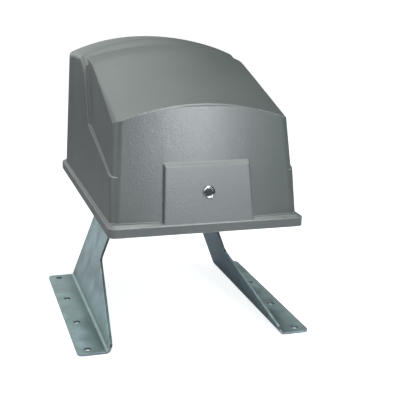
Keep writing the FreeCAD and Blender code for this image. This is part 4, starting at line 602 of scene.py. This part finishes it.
# Capped resistors in a row on the control board, above its terminal blocks
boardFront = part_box("control_board")[0][1] * 1000
resistorLook = {
    "name": "board_resistors", "slot": "black_plastic", "body": bodyOf["control_board"],
    "replaced": [], "places": [], "smooth": 35.0, "turn": (0.0, 0.0, 0.0), "sides": 12,
    "first": -98.0, "pitch": 7.4, "count": 24, "height": 361.5, "radius": 1.0,
    "rings": [("round", 0.85, -2.0), ("round", 1.0, -1.8), ("round", 1.0, -1.2),
              ("round", 0.8, -1.1), ("round", 0.8, 1.1), ("round", 1.0, 1.2),
              ("round", 1.0, 1.8), ("round", 0.85, 2.0)]}
for i in range(resistorLook["count"]):
    x = resistorLook["first"] + resistorLook["pitch"] * i
    resistorLook["places"].append((x, boardFront - resistorLook["radius"], resistorLook["height"]))
prototypeMesh = bmesh.new()
alongX = Matrix.Rotation(math.pi / 2, 4, "Y")
ringStack(prototypeMesh, resistorLook["rings"], alongX, resistorLook["sides"])
repeated(resistorLook, prototypeMesh)
print("repeats done")

# Lock barrel with a rounded bezel
lockLook = {
    "name": "lock_barrel", "slot": "lock_chrome", "face": (0.0, -0.291848, 0.322), "lean": 0.176,
    "smooth": 40.0, "sides": 48,
    "rings": [("round", 6.54, -26.0), ("round", 9.4, -26.0), ("round", 9.4, 0.0),
              ("round", 12.0, 0.0), ("round", 12.0, 0.8), ("round", 11.7, 1.9),
              ("round", 11.1, 2.8), ("round", 10.3, 3.35), ("round", 9.6, 3.5),
              ("round", 9.0, 3.4), ("round", 8.6, 3.0), ("round", 8.4, 2.4),
              ("round", 8.3, 1.2), ("round", 6.54, 1.2)]}
lockAxis = Vector((0.0, -1.0, lockLook["lean"])).normalized()
lockTurn = lockAxis.to_track_quat("Z", "Y").to_matrix().to_4x4()
lockPlace = Matrix.Translation(lockLook["face"]) @ lockTurn
lockMesh = bmesh.new()
ringStack(lockMesh, lockLook["rings"], lockPlace, lockLook["sides"], closed=True)
bmesh.ops.recalc_face_normals(lockMesh, faces=lockMesh.faces)
lock = placeMesh(lockLook["name"], lockMesh, lockLook["slot"], lockLook["smooth"])
finishPiece(lock, bodyOf["lock_body"], lockLook["slot"], "lock_body")
print("lock done")

# Carried-over nodes take the finish of their slot
for nodeName, node in nodes.items():
    for materialSlot in node.material_slots:
        materialSlot.material = materials[materialSlot.material.name.split(".")[0]]
        # The key plug takes the near black plug colour, a painted dark reflection
        if nodeName == "lock_plug":
            materialSlot.material = plugDarkReflection
print("nodes finished")

# Floor, light and world
stageLook = {
    "floor": 60.0, "floorColour": "f4f4f3", "floorRough": 0.9, "fibre": 3.0, "fibreShare": 0.15,
    # The mirrored colour is a darker purplish grey that the floor shows only in reflections: a
    # painted reflection
    "fibreColour": "e8e8e6", "mirroredColour": "c2bdc8", "glow": 0.80, "skyColour": "eff4f1",
    # Strengths of the sky: an axis, where along it they start and end, and what they are there
    "sky": [("X", -0.8, 0.8, 0.56, 0.05),   # on dull surfaces, more from the left
            ("X", -0.1, 0.40, 1.60, 0.06),  # in reflections, more from the left
            ("Y", -0.5, 0.2, 0.08, 1.0),    # in reflections, less from the front
            ("Z", 0.05, 0.35, 1.0, 0.42),   # in reflections, less above the horizon
            ("Z", 0.45, 0.80, 1.0, 3.3)]}   # in reflections, most from overhead
white = (1.0, 1.0, 1.0, 1.0)
floorMesh = bmesh.new()
bmesh.ops.create_grid(floorMesh, x_segments=1, y_segments=1, size=stageLook["floor"])
floorData = bpy.data.meshes.new("studio_floor")
floorMesh.to_mesh(floorData)
floorMesh.free()
floor = bpy.data.objects.new("studio_floor", floorData)
bpy.context.scene.collection.objects.link(floor)


def floorMaterial(look):
    # Pale paper that shows white to the camera and keeps the soft shadow
    material, tree, shader, coords = startMaterial("pale studio paper")
    fibre = addNode(tree, "TexNoise", {
        "Vector": coords, "Scale": perMetre(look["fibre"]), "Detail": 2.0}).outputs["Fac"]
    paper = layered(tree, linear(look["floorColour"]), fibre, "fine", look["fibreShare"],
                    look["fibreColour"])
    setInputs(tree, shader, {"Base Color": paper, "Roughness": look["floorRough"]})
    glow = addNode(tree, "Emission", {"Color": white, "Strength": look["glow"]})
    glowing = addNode(tree, "AddShader", {0: shader.outputs[0], 1: glow.outputs[0]})
    # In reflections the paper shows the darker mirrored colour, a painted reflection
    dull = addNode(tree, "BsdfDiffuse", {"Color": linear(look["mirroredColour"])})
    path = addNode(tree, "LightPath").outputs
    mirrored = addNode(tree, "MixShader", {
        0: path["Is Glossy Ray"], 1: shader.outputs[0], 2: dull.outputs[0]})
    final = addNode(tree, "MixShader", {
        0: path["Is Camera Ray"], 1: mirrored.outputs[0], 2: glowing.outputs[0]})
    tree.links.new(final.outputs[0], tree.nodes["Material Output"].inputs["Surface"])
    return material


floorData.materials.append(floorMaterial(stageLook))

world = bpy.data.worlds.new("studio")
bpy.context.scene.world = world
world.use_nodes = True
worldTree = world.node_tree
direction = addNode(worldTree, "TexCoord").outputs["Generated"]
toward = addNode(worldTree, "SeparateXYZ", {0: direction}).outputs
strengths = []
for axis, start, end, first, last in stageLook["sky"]:
    strengths.append(addNode(worldTree, "MapRange", {
        "Value": toward[axis], "From Min": start, "From Max": end, "To Min": first,
        "To Max": last}).outputs["Result"])
ambientStrength, mirrorStrength, *mirrorFactors = strengths
for factor in mirrorFactors:
    mirrorStrength = addNode(worldTree, "Math", {0: mirrorStrength, 1: factor},
                             operation="MULTIPLY").outputs[0]
skyColour = linear(stageLook["skyColour"])
ambient = worldTree.nodes["Background"]
setInputs(worldTree, ambient, {"Color": skyColour, "Strength": ambientStrength})
mirror = addNode(worldTree, "Background", {"Color": skyColour, "Strength": mirrorStrength})
backdrop = addNode(worldTree, "Background", {"Color": white, "Strength": 1.0})
path = addNode(worldTree, "LightPath").outputs
shown = ambient
for rayKind, seen in (("Is Glossy Ray", mirror), ("Is Transmission Ray", mirror),
                      ("Is Camera Ray", backdrop)):
    shown = addNode(worldTree, "MixShader", {
        0: path[rayKind], 1: shown.outputs[0], 2: seen.outputs[0]})
worldTree.links.new(shown.outputs[0], worldTree.nodes["World Output"].inputs["Surface"])

lampLooks = [
    {"name": "key_softbox", "place": (0.52, -2.35, 0.95), "aim": (0.0, -0.25, 0.38), "size": 0.5,
     "power": 22.0, "colour": (0.92, 0.96, 1.0)},
    {"name": "top_softbox", "place": (0.30, -0.45, 2.3), "aim": (0.30, -0.40, 0.0), "size": 1.2,
     "power": 31.0, "colour": (0.97, 1.0, 0.98)},
    {"name": "left_fill", "place": (-2.4, -0.9, 0.9), "aim": (0.0, 0.0, 0.3), "size": 1.2,
     "power": 3.0, "colour": (0.96, 1.0, 0.97)},
]
for lampLook in lampLooks:
    lampData = bpy.data.lights.new(lampLook["name"], "AREA")
    lampData.shape = "SQUARE"
    lampData.size = lampLook["size"]
    lampData.energy = lampLook["power"]
    lampData.color = lampLook["colour"]
    lamp = bpy.data.objects.new(lampLook["name"], lampData)
    bpy.context.scene.collection.objects.link(lamp)
    lamp.location = lampLook["place"]
    toAim = Vector(lampLook["aim"]) - lamp.location
    lamp.rotation_mode = "QUATERNION"
    lamp.rotation_quaternion = toAim.to_track_quat("-Z", "Y")
print("stage set")

# Camera at the front left, a little above the roof and slightly rolled
cameraLook = {"lens": 75.6, "sensor": 36.0, "place": (-0.4552, -1.7089, 0.6998), "yaw": 17.19,
              "down": 14.80, "roll": 1.20}
yaw, down, roll = (math.radians(cameraLook[key]) for key in ("yaw", "down", "roll"))
ahead = math.cos(down)
forward = Vector((math.sin(yaw) * ahead, math.cos(yaw) * ahead, -math.sin(down)))
level = Vector((math.cos(yaw), -math.sin(yaw), 0.0))
upright = level.cross(forward)
across = level * math.cos(roll) + upright * math.sin(roll)
above = upright * math.cos(roll) - level * math.sin(roll)
turn = Matrix((across, above, -forward)).transposed()
cameraData = bpy.data.cameras.new("camera")
cameraData.lens = cameraLook["lens"]
cameraData.sensor_width = cameraLook["sensor"]
camera = bpy.data.objects.new("camera", cameraData)
bpy.context.scene.collection.objects.link(camera)
camera.matrix_world = Matrix.Translation(cameraLook["place"]) @ turn.to_4x4()
bpy.context.scene.camera = camera
bpy.context.scene.view_settings.view_transform = "Standard"

bpy.context.view_layer.update()
print("scene ready")
